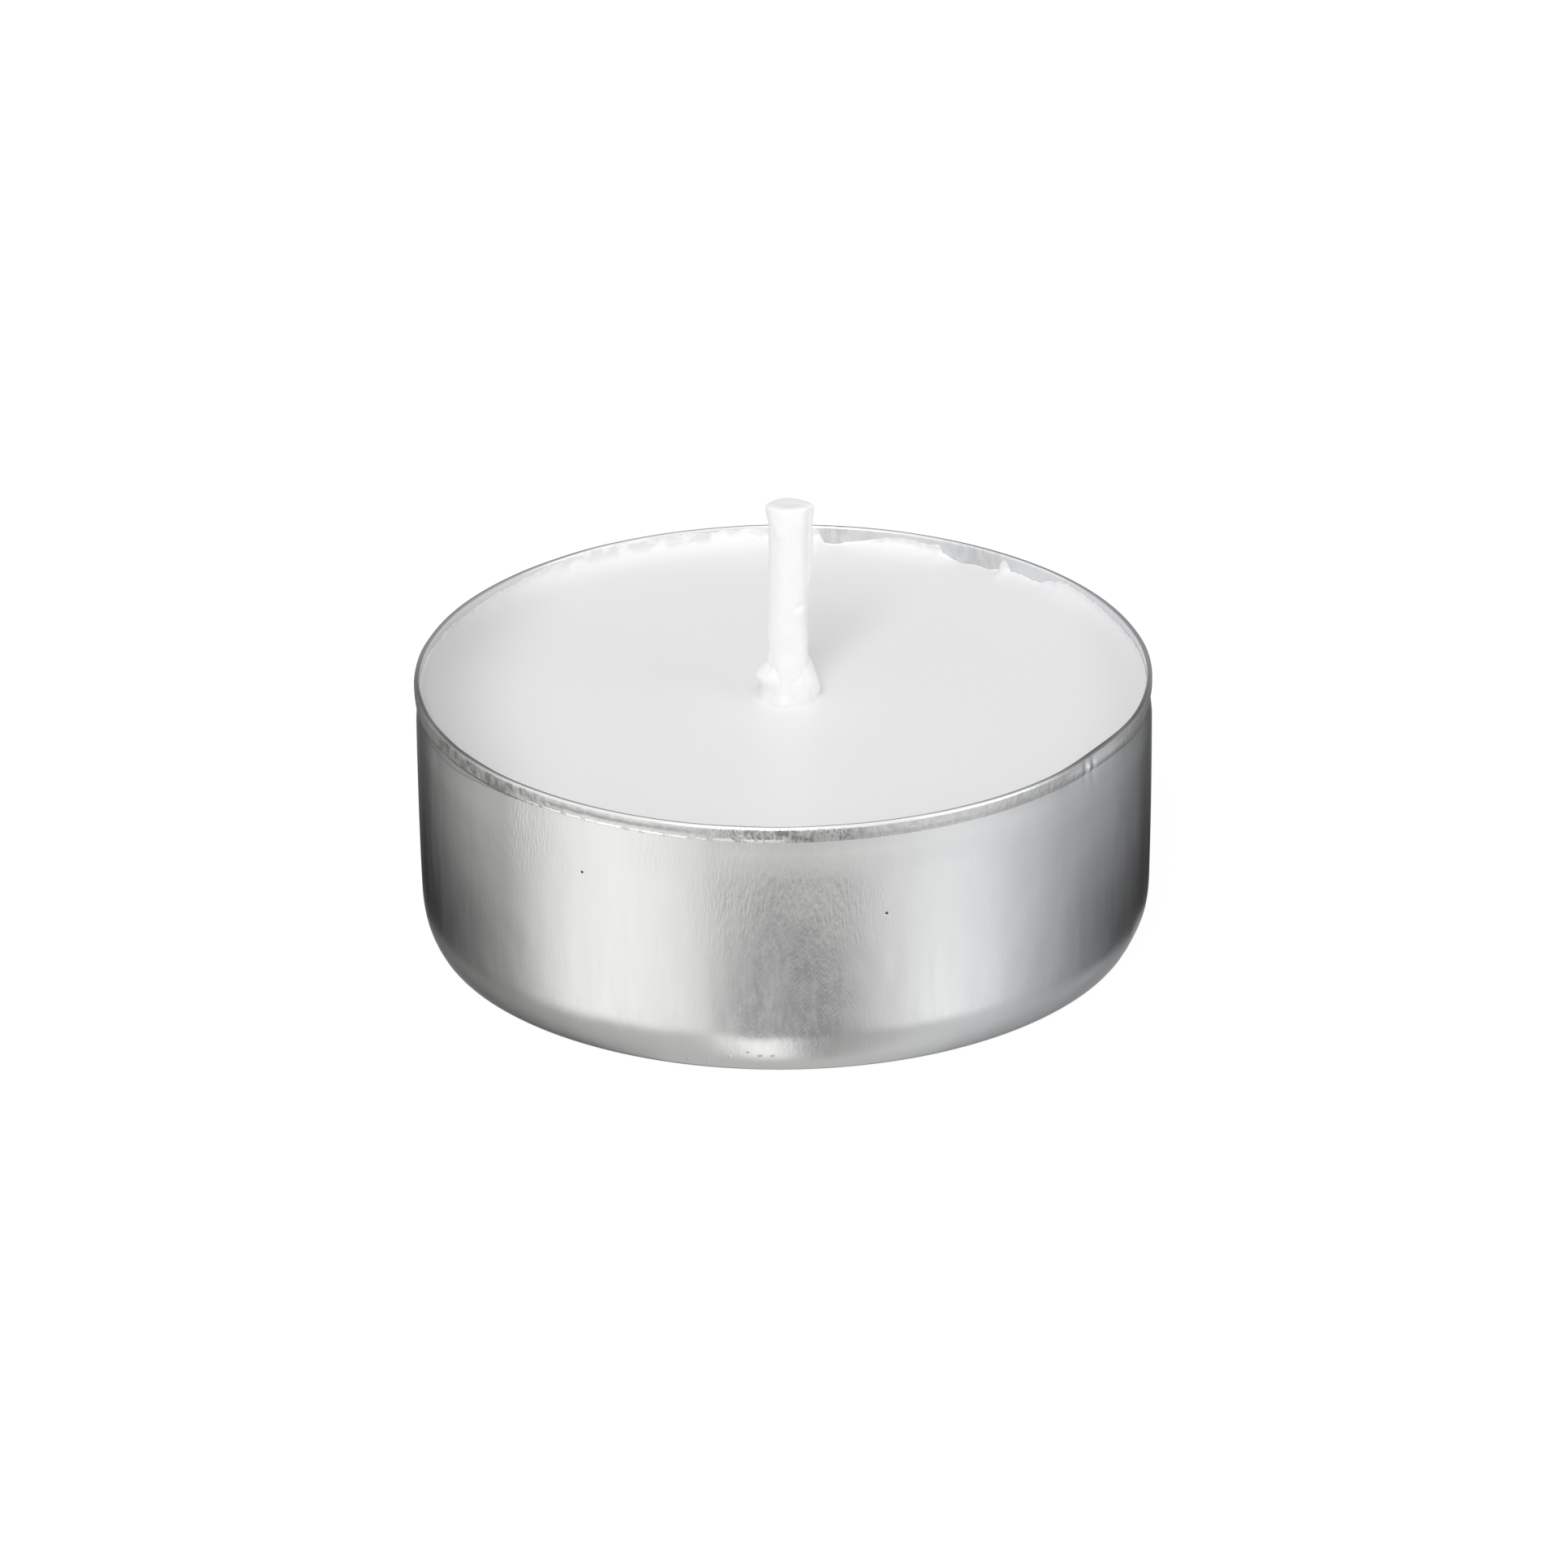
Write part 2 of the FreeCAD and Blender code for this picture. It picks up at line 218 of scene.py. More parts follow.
def blend(tree, factor, first, second):
    """Mixes two colours. A colour is three numbers or another node's output."""
    node = tree.nodes.new("ShaderNodeMix")
    node.data_type = "RGBA"
    for socket, value in ((node.inputs[0], factor), (node.inputs[6], first), (node.inputs[7], second)):
        if isinstance(value, (int, float)):
            socket.default_value = value
        elif isinstance(value, tuple):
            socket.default_value = (*value, 1)
        else:
            tree.links.new(value, socket)
    return node.outputs[2]


world = bpy.data.worlds.new("studio_tent")
scene.world = world
world.use_nodes = True
world.cycles.sampling_method = "NONE"
tree = world.node_tree
direction = tree.nodes.new("ShaderNodeSeparateXYZ")
tree.links.new(tree.nodes.new("ShaderNodeTexCoord").outputs["Generated"], direction.inputs[0])
frontward = calc(tree, "MULTIPLY", direction.outputs["Y"], -1)
azimuth = calc(tree, "ARCTAN2", direction.outputs["X"], frontward)
turn = calc(tree, "ADD", calc(tree, "DIVIDE", azimuth, 2 * math.pi), 0.5)
steepness = calc(tree, "MULTIPLY", direction.outputs["Z"], -1)
walls = ramp_round(tree, turn, WALL_STOPS)
tent = blend(tree, ease(tree, steepness, *LOW_START), walls, ramp_round(tree, turn, LOW_STOPS))
tent = blend(tree, ease(tree, steepness, *FOOT_START), tent, ramp_round(tree, turn, FOOT_STOPS))
tent = blend(tree, ease(tree, steepness, *UNDERSIDE_START), tent, (UNDERSIDE,) * 3)
tent = blend(tree, ease(tree, steepness, *EYE_LEVEL_END), tent, ramp_round(tree, turn, EYE_LEVEL_STOPS))
tent = blend(tree, ease(tree, direction.outputs["Z"], *CEILING_START), tent, (CEILING,) * 3)
rays = tree.nodes.new("ShaderNodeLightPath")
seen = blend(tree, rays.outputs["Is Glossy Ray"], (DAYLIGHT,) * 3, tent)
shown = blend(tree, rays.outputs["Is Camera Ray"], seen, (1 / TENT_LIGHT,) * 3)
tree.links.new(shown, tree.nodes["Background"].inputs["Color"])
tree.nodes["Background"].inputs["Strength"].default_value = TENT_LIGHT


def hang_lamp(name, place, side, power):
    """A square soft light that faces the candle."""
    lamp = bpy.data.objects.new(name, bpy.data.lights.new(name, "AREA"))
    lamp.data.size = side
    lamp.data.energy = power
    lamp.location = place
    lamp.rotation_euler = Vector(place).to_track_quat("Z", "Y").to_euler()
    scene.collection.objects.link(lamp)


hang_lamp("front_lamp", (-0.11, -0.46, 0.42), 0.20, 1.35)
hang_lamp("fill_lamp", (0.45, -0.25, 0.20), 0.30, 0.30)


# The floor: a plain white table top. The camera sees it as white as the tent, with what is left of the
# candle's own soft shadow, and the foil mirrors the tent and not the floor.
FLOOR_SIDE = 6.0
FLOOR_DROP = 0.02 * MM
FLOOR_COLOUR = (0.9, 0.9, 0.9)
FLOOR_WHITE = 1.06
FLOOR_GLOW = 0.86


def new_material(name, colour, roughness, metallic=0.0):
    """A plain material. Gives it with its nodes and its surface shader."""
    material = bpy.data.materials.new(name)
    material.use_nodes = True
    surface = material.node_tree.nodes["Principled BSDF"]
    surface.inputs["Base Color"].default_value = (*colour, 1)
    surface.inputs["Roughness"].default_value = roughness
    surface.inputs["Metallic"].default_value = metallic
    return material, material.node_tree, surface


def show_both(tree, share, first, second):
    """Ends a material in a mix of two shaders. The share is how much of the second one shows."""
    both = tree.nodes.new("ShaderNodeMixShader")
    for socket, value in zip(both.inputs, (share, first.outputs[0], second.outputs[0])):
        tree.links.new(value, socket)
    tree.links.new(both.outputs[0], tree.nodes["Material Output"].inputs["Surface"])


bpy.ops.mesh.primitive_plane_add(size=FLOOR_SIDE, location=(0, 0, -FLOOR_DROP))
floor = bpy.context.object
floor.name = "floor"
floor.visible_glossy = False
table_top, tree, paper = new_material("table_top", FLOOR_COLOUR, 1.0)
paper.inputs["Specular IOR Level"].default_value = 0.0
glow = tree.nodes.new("ShaderNodeEmission")
glow.inputs["Strength"].default_value = FLOOR_WHITE
rays = tree.nodes.new("ShaderNodeLightPath")
share = calc(tree, "MULTIPLY", rays.outputs["Is Camera Ray"], FLOOR_GLOW)
show_both(tree, share, paper, glow)
floor.data.materials.append(table_top)


# The candle's own shadow on the table, as the foil mirrors it: deepest a little way off the foot, at the
# sides and behind, and gone a candle's width away. Only the foil sees this sheet.
SHADE_SIDE = 100 * MM
SHADE_DEPTH = 0.70
SHADE_START = (19.3 * MM, 21.5 * MM)
SHADE_END = (40 * MM, 20 * MM)
SHADE_FRONT = (-18 * MM, -2 * MM)

bpy.ops.mesh.primitive_plane_add(size=SHADE_SIDE, location=(0, 0, -FLOOR_DROP / 2))
shade = bpy.context.object
shade.name = "mirrored_shade"
shade.visible_camera = False
shade.visible_diffuse = False
shade.visible_shadow = False
shade_sheet, tree, surface = new_material("shade_sheet", (0, 0, 0), 1.0)
tree.nodes.remove(surface)
place = tree.nodes.new("ShaderNodeTexCoord").outputs["Object"]
away = tree.nodes.new("ShaderNodeVectorMath")
away.operation = "LENGTH"
tree.links.new(place, away.inputs[0])
sides = tree.nodes.new("ShaderNodeSeparateXYZ")
tree.links.new(place, sides.inputs[0])
depth = calc(tree, "MULTIPLY", ease(tree, away.outputs["Value"], *SHADE_END), SHADE_DEPTH)
depth = calc(tree, "MULTIPLY", depth, ease(tree, away.outputs["Value"], *SHADE_START))
depth = calc(tree, "MULTIPLY", depth, ease(tree, sides.outputs["Y"], *SHADE_FRONT))
dark = tree.nodes.new("ShaderNodeEmission")
dark.inputs["Strength"].default_value = 0.0
show_both(tree, depth, tree.nodes.new("ShaderNodeBsdfTransparent"), dark)
shade.data.materials.append(shade_sheet)


# The cup: one round blank of aluminium foil, drawn over a punch into a straight wall with a soft corner
# and a flat foot, its middle pressed up. The rim is folded outwards and pressed into a flat hem.
FOIL = 0.12 * MM
WALL_RADIUS = 19.08 * MM
CUP_HEIGHT = 14.2 * MM
HEM_DEPTH = 0.85 * MM
HEM_GAP = 0.05 * MM
CORNER_RADIUS = 4.85 * MM
CORNER_TURN = 30
TOE_RADIUS = 0.51 * MM
RING_WIDTH = 2.7 * MM
PANEL_LIFT = 0.4 * MM
STEP_TURN = 60
CUP_SEGMENTS = 960
RAW_EDGE = 0.02 * MM
POLE_WELD = 0.002 * MM
HEM_FOOT = CUP_HEIGHT - HEM_DEPTH
INNER_RADIUS = WALL_RADIUS - FOIL
OUTER_RADIUS = WALL_RADIUS + HEM_GAP + FOIL


def walk(start, heading, moves):
    """Points along lines and arcs laid end to end. A move is a length or a radius, the degrees that it
    turns to the left, and how many points it takes."""
    place = Vector(start)
    heading = math.radians(heading)
    points = [place.copy()]
    for reach, bend, count in moves:
        for _ in range(count):
            if bend == 0:
                place = place + Vector((math.cos(heading), math.sin(heading))) * (reach / count)
            else:
                step = math.radians(bend) / count
                chord = 2 * reach * math.sin(abs(step) / 2)
                heading += step / 2
                place = place + Vector((math.cos(heading), math.sin(heading))) * chord
                heading += step / 2
            points.append(place.copy())
    return points


def foil_skin(inset, wall_top, detail, further=()):
    """One skin of the foil, from the middle of the base out and up the wall to wall_top, and any moves
    further on. Detail is how many points the corner takes."""
    toe_turn = 90 - CORNER_TURN
    step_run = 2 * PANEL_LIFT * math.sin(math.radians(STEP_TURN))
    toe_run = TOE_RADIUS * math.sin(math.radians(toe_turn))
    corner_run = CORNER_RADIUS * (1 - math.cos(math.radians(CORNER_TURN)))
    toe_rise = TOE_RADIUS * (1 - math.cos(math.radians(toe_turn)))
    corner_rise = CORNER_RADIUS * math.sin(math.radians(CORNER_TURN))
    panel = WALL_RADIUS - corner_run - toe_run - RING_WIDTH - step_run
    moves = [
        (panel, 0, 3),
        (PANEL_LIFT + inset, -STEP_TURN, 3),
        (PANEL_LIFT - inset, STEP_TURN, 3),
        (RING_WIDTH, 0, 2),
        (TOE_RADIUS - inset, toe_turn, detail // 2),
        (CORNER_RADIUS - inset, CORNER_TURN, detail),
        (wall_top - toe_rise - corner_rise, 0, 2 * detail),
        *further,
    ]
    return walk((0, PANEL_LIFT + inset), 0, moves)


fold_foot = CUP_HEIGHT - FOIL - HEM_GAP / 2
flap = fold_foot - HEM_FOOT - RAW_EDGE
outside = foil_skin(0, fold_foot, 8, [(HEM_GAP / 2, -180, 3), (flap, 0, 5), (RAW_EDGE, 0, 1)])
inside = foil_skin(FOIL, fold_foot, 4, [(HEM_GAP / 2 + FOIL, -180, 8), (flap, 0, 6), (RAW_EDGE, 0, 1)])

section = bpy.data.curves.new("foil_section", "CURVE")
section.dimensions = "3D"
line = section.splines.new("POLY")
outline = outside + inside[::-1]
line.points.add(len(outline) - 1)
for point, place in zip(line.points, outline):
    point.co = (place.x - WALL_RADIUS, -place.y, 0, 1)
blank = bpy.data.objects.new("foil_blank", section)
scene.collection.objects.link(blank)


def new_modelling_tree(name, inputs):
    """A Geometry Nodes tree with a geometry and the named inputs. Gives it with its two end nodes."""
    tree = bpy.data.node_groups.new(name, "GeometryNodeTree")
    tree.interface.new_socket("Geometry", in_out="INPUT", socket_type="NodeSocketGeometry")
    for label, kind in inputs:
        tree.interface.new_socket(label, in_out="INPUT", socket_type="NodeSocket" + kind)
    tree.interface.new_socket("Geometry", in_out="OUTPUT", socket_type="NodeSocketGeometry")
    return tree, tree.nodes.new("NodeGroupInput"), tree.nodes.new("NodeGroupOutput")


def place_node(tree, kind, **sockets):
    """A node with its sockets set or linked. An underscore stands for a space in a socket's name."""
    node = tree.nodes.new(kind)
    for label, value in sockets.items():
        socket = node.inputs[label.replace("_", " ")]
        if isinstance(value, bpy.types.NodeSocket):
            tree.links.new(value, socket)
        else:
            socket.default_value = value
    return node


def end_tree(tree, given, result, geometry):
    """Ends a modelling tree: makes any instances real, and gives the piece its finish."""
    real = place_node(tree, "GeometryNodeRealizeInstances", Geometry=geometry)
    finished = place_node(
        tree, "GeometryNodeSetMaterial", Geometry=real.outputs[0], Material=given.outputs["Finish"]
    )
    tree.links.new(finished.outputs[0], result.inputs[0])


def make_mesh(source, tree, values):
    """Runs a modelling tree on an object, with its inputs set by name, and gives the plain mesh."""
    modifier = source.modifiers.new(tree.name, "NODES")
    modifier.node_group = tree
    for item in tree.interface.items_tree:
        if item.in_out == "INPUT" and item.name in values:
            modifier[item.identifier] = values[item.name]
    graph = bpy.context.evaluated_depsgraph_get()
    mesh = bpy.data.meshes.new_from_object(source.evaluated_get(graph))
    bpy.data.objects.remove(source)
    return mesh


def new_effect(name, inputs, output):
    """A shader node group with the named inputs and one output that changes over the surface."""
    effect = bpy.data.node_groups.new(name, "ShaderNodeTree")
    for label, kind in inputs:
        effect.interface.new_socket(label, in_out="INPUT", socket_type="NodeSocket" + kind)
    effect.interface.new_socket(output, in_out="OUTPUT", socket_type="NodeSocketFloat")
    return effect, effect.nodes.new("NodeGroupInput"), effect.nodes.new("NodeGroupOutput")


def make_grain():
    """Fine unevenness of any scale. Stretch under 1 draws it out along the candle's height, and lean
    turns that direction, in radians about the Y axis."""
    effect, given, result = new_effect(
        "grain",
        [("Scale", "Float"), ("Stretch", "Float"), ("Lean", "Float"), ("Detail", "Float")],
        "Height",
    )
    place = effect.nodes.new("ShaderNodeTexCoord").outputs["Object"]
    leaning = place_node(effect, "ShaderNodeVectorRotate", Vector=place, Angle=given.outputs["Lean"])
    leaning.rotation_type = "Y_AXIS"
    stretch = place_node(effect, "ShaderNodeCombineXYZ", X=1.0, Y=1.0, Z=given.outputs["Stretch"])
    drawn_out = effect.nodes.new("ShaderNodeVectorMath")
    drawn_out.operation = "MULTIPLY"
    effect.links.new(leaning.outputs[0], drawn_out.inputs[0])
    effect.links.new(stretch.outputs[0], drawn_out.inputs[1])
    noise = place_node(
        effect,
        "ShaderNodeTexNoise",
        Vector=drawn_out.outputs[0],
        Scale=given.outputs["Scale"],
        Detail=given.outputs["Detail"],
    )
    effect.links.new(noise.outputs["Fac"], result.inputs[0])
    return effect


def make_spot():
    """A soft round spot: 1 at its place, and 0 from its size outwards."""
    effect, given, result = new_effect("spot", [("Place", "Vector"), ("Size", "Float")], "Mask")
    place = effect.nodes.new("ShaderNodeTexCoord").outputs["Object"]
    away = effect.nodes.new("ShaderNodeVectorMath")
    away.operation = "DISTANCE"
    effect.links.new(place, away.inputs[0])
    effect.links.new(given.outputs["Place"], away.inputs[1])
    fade = place_node(effect, "ShaderNodeMapRange", Value=away.outputs["Value"], From_Max=0.0)
    effect.links.new(given.outputs["Size"], fade.inputs["From Min"])
    fade.interpolation_type = "SMOOTHSTEP"
    effect.links.new(fade.outputs["Result"], result.inputs[0])
    return effect


grain_effect = make_grain()
spot_effect = make_spot()


def grain(tree, scale, stretch=1.0, lean=0.0, detail=2.0):
    """Places the grain in a material, and gives its height."""
    node = tree.nodes.new("ShaderNodeGroup")
    node.node_tree = grain_effect
    for label, value in (("Scale", scale), ("Stretch", stretch), ("Lean", lean), ("Detail", detail)):
        node.inputs[label].default_value = value
    return node.outputs["Height"]


def spot(tree, place, size):
    """Places a spot in a material, and gives its mask."""
    node = tree.nodes.new("ShaderNodeGroup")
    node.node_tree = spot_effect
    node.inputs["Place"].default_value = place
    node.inputs["Size"].default_value = size
    return node.outputs["Mask"]


def relief(tree, surface, height, depth):
    """Gives the surface the height, from 0 to 1, as a relief of the given depth."""
    node = place_node(tree, "ShaderNodeBump", Height=height, Strength=1.0, Distance=depth)
    tree.links.new(node.outputs[0], surface.inputs["Normal"])


def on_wall(azimuth, height, radius):
    """A place on the cup's wall. The azimuth is in degrees from the front, and to the right."""
    turn = math.radians(azimuth)
    return (radius * math.sin(turn), -radius * math.cos(turn), height)


WARM_FOIL = (0.782, 0.786, 0.768)
# Painted reflection tint: the foil's right side is coloured cooler, as if by what it mirrors there
COOL_REFLECTION_TINT = (0.77, 0.785, 0.808)
# Partly real scuffing, partly painted shade
SCUFFED_AND_SHADED_FOIL = (0.62, 0.625, 0.635)
# Partly the pressed hem's own duller foil, partly painted shade of its creases
DULL_AND_SHADED_HEM = (0.62, 0.625, 0.615)
# The darkest grey of the hem: used for its darker patches and for the painted dark reflection on the fold's
# top
DARKEST_HEM = (0.36, 0.365, 0.35)
# Painted highlight for the hem's raw edge
EDGE_HIGHLIGHT_COLOUR = (0.96, 0.96, 0.95)
PIT_COLOUR = (0.08, 0.08, 0.085)
DRAW_LINES = 0.007 * MM
HEM_CREASES = 0.030 * MM
SCUFF_DEPTH = 0.014 * MM
# Spots on the foil: each is an azimuth in degrees, and a height, a radius and a size in mm
PITS = ((-32.8, 10.35, 19.17, 0.12), (15.7, 9.0, 19.15, 0.13))
SPECKS = (
    (-78.1, 8.45, 19.10, 0.13),
    (63.6, 6.1, 19.12, 0.12),
    (68.3, 5.1, 19.12, 0.12),
    (-15.7, 0.58, 18.60, 0.14),
    (-12.4, 0.68, 18.68, 0.12),
    (-8.9, 1.0, 18.80, 0.13),
    (-4.1, 1.15, 18.85, 0.14),
    (-2.2, 1.15, 18.85, 0.12),
    (-6.0, 1.35, 18.90, 0.10),
)
# Scuffed patches low in front, darker partly from real scuffing and partly as painted shade; the last two,
# inside the wall at the back, are painted shade on the bare foil
SCUFFED_AND_SHADED_PATCHES = (
    (-4.0, 3.9, 19.1, 3.0),
    (3.0, 3.4, 19.1, 3.0),
    (6.5, 4.4, 19.1, 2.2),
    (-1.0, 7.0, 19.1, 3.4),
    (4.0, 6.0, 19.1, 2.4),
    (170.0, 13.5, 18.96, 3.6),
    (147.0, 13.5, 18.96, 3.4),
)
FRESH_LINES = (
    (-3.0, 10.5, 19.1, 5.5),
    (6.0, 10.0, 19.1, 4.5),
    (-44.0, 11.7, 19.1, 3.6),
    (-22.0, 12.5, 19.1, 2.5),
)
# Painted highlight: stretches of the hem's raw edge in front, a little to the left, are painted nearly white
EDGE_HIGHLIGHT_PLACES = ((-10.0, 13.4, 19.2, 4.5), (-20.0, 13.4, 19.2, 5.0), (-32.0, 13.4, 19.2, 5.0))
# Darker mottled patches on the hem, in front and at the left
DARKER_HEM_PLACES = ((-62.0, 13.7, 19.2, 8.0), (-48.0, 13.7, 19.2, 5.0), (0.0, 13.7, 19.2, 4.0))
# Painted dark reflection: stretches of the fold's top at both sides are darkened
SHADED_RIM_STRETCHES = (
    (-62.0, 14.1, 19.1, 8.5),
    (-80.0, 14.1, 19.1, 8.0),
    (59.0, 14.1, 19.1, 6.5),
    (74.0, 14.1, 19.1, 7.0),
)
SPECKLED_HEM = ((-5.0, 13.7, 19.2, 3.2), (2.0, 13.7, 19.2, 3.4), (8.0, 13.7, 19.2, 2.4))


def any_of(tree, masks):
    """The largest of several masks."""
    largest = masks[0]
    for mask in masks[1:]:
        largest = calc(tree, "MAXIMUM", largest, mask)
    return largest


def spots_on_wall(tree, spots):
    """One mask for spots on the cup's wall: each an azimuth, and a height, radius and size in mm."""
    masks = []
    for azimuth, height, radius, size in spots:
        masks.append(spot(tree, on_wall(azimuth, height * MM, radius * MM), size * MM))
    return any_of(tree, masks)


def bright_foil():
    """Bare aluminium: short fine upright lines from the drawing tool, the freshest under the hem in front,
    creases and specks in the duller pressed hem, a patch of scuffs low down in front, two dark pits and a
    few raised specks. Painted light in its colour: a cooler reflection tint on the right, painted shade in
    the pressed hem and in the scuffs, two more patches of painted shade inside the back, a painted dark
    reflection on the fold's top at both sides, and a painted highlight along the raw edge in front."""
    material, tree, surface = new_material("bright_foil", WARM_FOIL, 0.25, metallic=1.0)
    place = tree.nodes.new("ShaderNodeTexCoord").outputs["Object"]
    split = place_node(tree, "ShaderNodeSeparateXYZ", Vector=place)
    flat = place_node(tree, "ShaderNodeCombineXYZ", X=split.outputs["X"], Y=split.outputs["Y"])
    from_axis = tree.nodes.new("ShaderNodeVectorMath")
    from_axis.operation = "LENGTH"
    tree.links.new(flat.outputs[0], from_axis.inputs[0])
    height = split.outputs["Z"]
    above = ease(tree, height, HEM_FOOT - 0.05 * MM, HEM_FOOT + 0.02 * MM)
    outer = ease(tree, from_axis.outputs["Value"], WALL_RADIUS + 0.04 * MM, WALL_RADIUS + 0.10 * MM)
    flap_side = calc(tree, "MULTIPLY", above, outer)
    fold = ease(tree, height, CUP_HEIGHT - 0.18 * MM, CUP_HEIGHT - 0.06 * MM)
    hem = calc(tree, "MULTIPLY", flap_side, calc(tree, "SUBTRACT", 1.0, fold))

    fresh = calc(tree, "MULTIPLY_ADD", spots_on_wall(tree, FRESH_LINES), 2.2, 0.4)
    lines = calc(tree, "MULTIPLY", grain(tree, 7500, stretch=0.26, detail=4), DRAW_LINES)
    heights = calc(tree, "MULTIPLY", lines, fresh)
    heights = calc(tree, "MULTIPLY_ADD", grain(tree, 420, stretch=0.6, detail=1), 0.035 * MM, heights)

    # Painted highlight: a ragged stretch along the hem's raw edge in front is painted nearly white
    over_edge = ease(tree, height, HEM_FOOT + 0.12 * MM, HEM_FOOT + 0.22 * MM)
    lowest = calc(tree, "MULTIPLY", flap_side, calc(tree, "SUBTRACT", 1.0, over_edge))
    edge_highlight = calc(tree, "MULTIPLY", lowest, ease(tree, spots_on_wall(tree, EDGE_HIGHLIGHT_PLACES), 0.0, 0.4))
    edge_highlight = calc(tree, "MULTIPLY", edge_highlight, ease(tree, grain(tree, 2200, detail=4), 0.40, 0.48))
    creases = calc(tree, "MULTIPLY", grain(tree, 3600, stretch=0.8, detail=5), hem)
    creases = calc(tree, "MULTIPLY", creases, calc(tree, "SUBTRACT", 1.0, edge_highlight))
    heights = calc(tree, "MULTIPLY_ADD", creases, HEM_CREASES, heights)
    speckled = calc(tree, "MULTIPLY", spots_on_wall(tree, SPECKLED_HEM), hem)
    ticks = ease(tree, grain(tree, 11000, stretch=0.5, detail=1), 0.50, 0.62)
    ticks = calc(tree, "MULTIPLY", ticks, speckled)
    heights = calc(tree, "MULTIPLY_ADD", ticks, -0.006 * MM, heights)

    scuffed_and_shaded = spots_on_wall(tree, SCUFFED_AND_SHADED_PATCHES)
    strokes = any_of(tree, [grain(tree, 8000, 0.25, 0.5, 3), grain(tree, 9000, 0.30, -0.7, 3)])
    scratches = calc(tree, "MULTIPLY", strokes, scuffed_and_shaded)
    heights = calc(tree, "MULTIPLY_ADD", scratches, -SCUFF_DEPTH, heights)

    pits = spots_on_wall(tree, PITS)
    heights = calc(tree, "MULTIPLY_ADD", pits, -0.05 * MM, heights)
    heights = calc(tree, "MULTIPLY_ADD", spots_on_wall(tree, SPECKS), 0.018 * MM, heights)
    relief(tree, surface, heights, 1.0)

    # Painted reflection tint, growing cooler towards the right side
    reflection_tint_share = ease(tree, split.outputs["X"], 0.0, 15 * MM)
    colour = blend(tree, reflection_tint_share, WARM_FOIL, COOL_REFLECTION_TINT)
    blotches = ease(tree, grain(tree, 2400, stretch=0.45, detail=5), 0.40, 0.62)
    # Partly real scuffing, partly painted shade: the scuffed patches and two patches inside the back are
    # darkened
    worn_and_shaded = calc(tree, "MULTIPLY", scuffed_and_shaded, calc(tree, "MULTIPLY_ADD", blotches, 0.6, 0.4))
    colour = blend(tree, worn_and_shaded, colour, SCUFFED_AND_SHADED_FOIL)
    mottled = ease(tree, grain(tree, 2600, stretch=0.7, detail=4), 0.36, 0.64)
    # The pressed hem is darkened: partly its own duller foil, partly painted shade of its creases; the sides
    # are left out
    dull_and_shaded = calc(tree, "MULTIPLY", hem, calc(tree, "MULTIPLY_ADD", mottled, 0.5, 0.5))
    dull_and_shaded = calc(tree, "MULTIPLY", dull_and_shaded, calc(tree, "SUBTRACT", 1.0, edge_highlight))
    side = ease(tree, calc(tree, "ABSOLUTE", split.outputs["X"]), 17.0 * MM, 18.8 * MM)
    dull_and_shaded = calc(tree, "MULTIPLY", dull_and_shaded, calc(tree, "SUBTRACT", 1.0, side))
    # Darker mottled patches on the hem
    darker_patches = calc(tree, "MULTIPLY", spots_on_wall(tree, DARKER_HEM_PLACES), mottled)
    colour = blend(tree, dull_and_shaded, colour, blend(tree, darker_patches, DULL_AND_SHADED_HEM, DARKEST_HEM))
    # Painted dark reflection on the fold's top at both sides
    shaded_fold = calc(tree, "MULTIPLY", spots_on_wall(tree, SHADED_RIM_STRETCHES), fold)
    colour = blend(tree, shaded_fold, colour, DARKEST_HEM)
    colour = blend(tree, calc(tree, "MULTIPLY", ticks, 0.5), colour, PIT_COLOUR)
    colour = blend(tree, edge_highlight, colour, EDGE_HIGHLIGHT_COLOUR)
    colour = blend(tree, ease(tree, pits, 0.1, 0.5), colour, PIT_COLOUR)
    tree.links.new(colour, surface.inputs["Base Color"])

    roughness = calc(tree, "MULTIPLY_ADD", grain(tree, 1800, stretch=0.12), 0.14, 0.12)
    roughness = calc(tree, "MULTIPLY_ADD", hem, 0.10, roughness)
    tree.links.new(roughness, surface.inputs["Roughness"])
    return material


def draw_foil():
    """The modelling tree that draws the foil's section round the candle into one closed skin."""
    tree, given, result = new_modelling_tree(
        "draw_foil",
        [("Wall Radius", "Float"), ("Segments", "Int"), ("Weld", "Float"), ("Finish", "Material")],
    )
    ring = place_node(
        tree,
        "GeometryNodeCurvePrimitiveCircle",
        Resolution=given.outputs["Segments"],
        Radius=given.outputs["Wall Radius"],
    )
    drawn = place_node(
        tree,
        "GeometryNodeCurveToMesh",
        Curve=ring.outputs["Curve"],
        Profile_Curve=given.outputs["Geometry"],
    )
    welded = place_node(
        tree, "GeometryNodeMergeByDistance", Geometry=drawn.outputs[0], Distance=given.outputs["Weld"]
    )
    shaded = place_node(tree, "GeometryNodeSetShadeSmooth", Geometry=welded.outputs[0])
    end_tree(tree, given, result, shaded.outputs[0])
    return tree


foil_finish = bright_foil()
cup_mesh = make_mesh(
    blank,
    draw_foil(),
    {"Wall Radius": WALL_RADIUS, "Segments": CUP_SEGMENTS, "Weld": POLE_WELD, "Finish": foil_finish},
)

chance = np.random.default_rng(7)


def ripple(turn, fewest, most, size):
    """An uneven ripple round the candle, made of waves of fewest to most to the turn."""
    waves = np.arange(fewest, most + 1)
    phases = chance.uniform(0, 2 * np.pi, len(waves))
    strengths = chance.normal(0, 1, len(waves)) * size / math.sqrt(len(waves))
    return (np.cos(np.multiply.outer(turn, waves) + phases) * strengths).sum(-1)


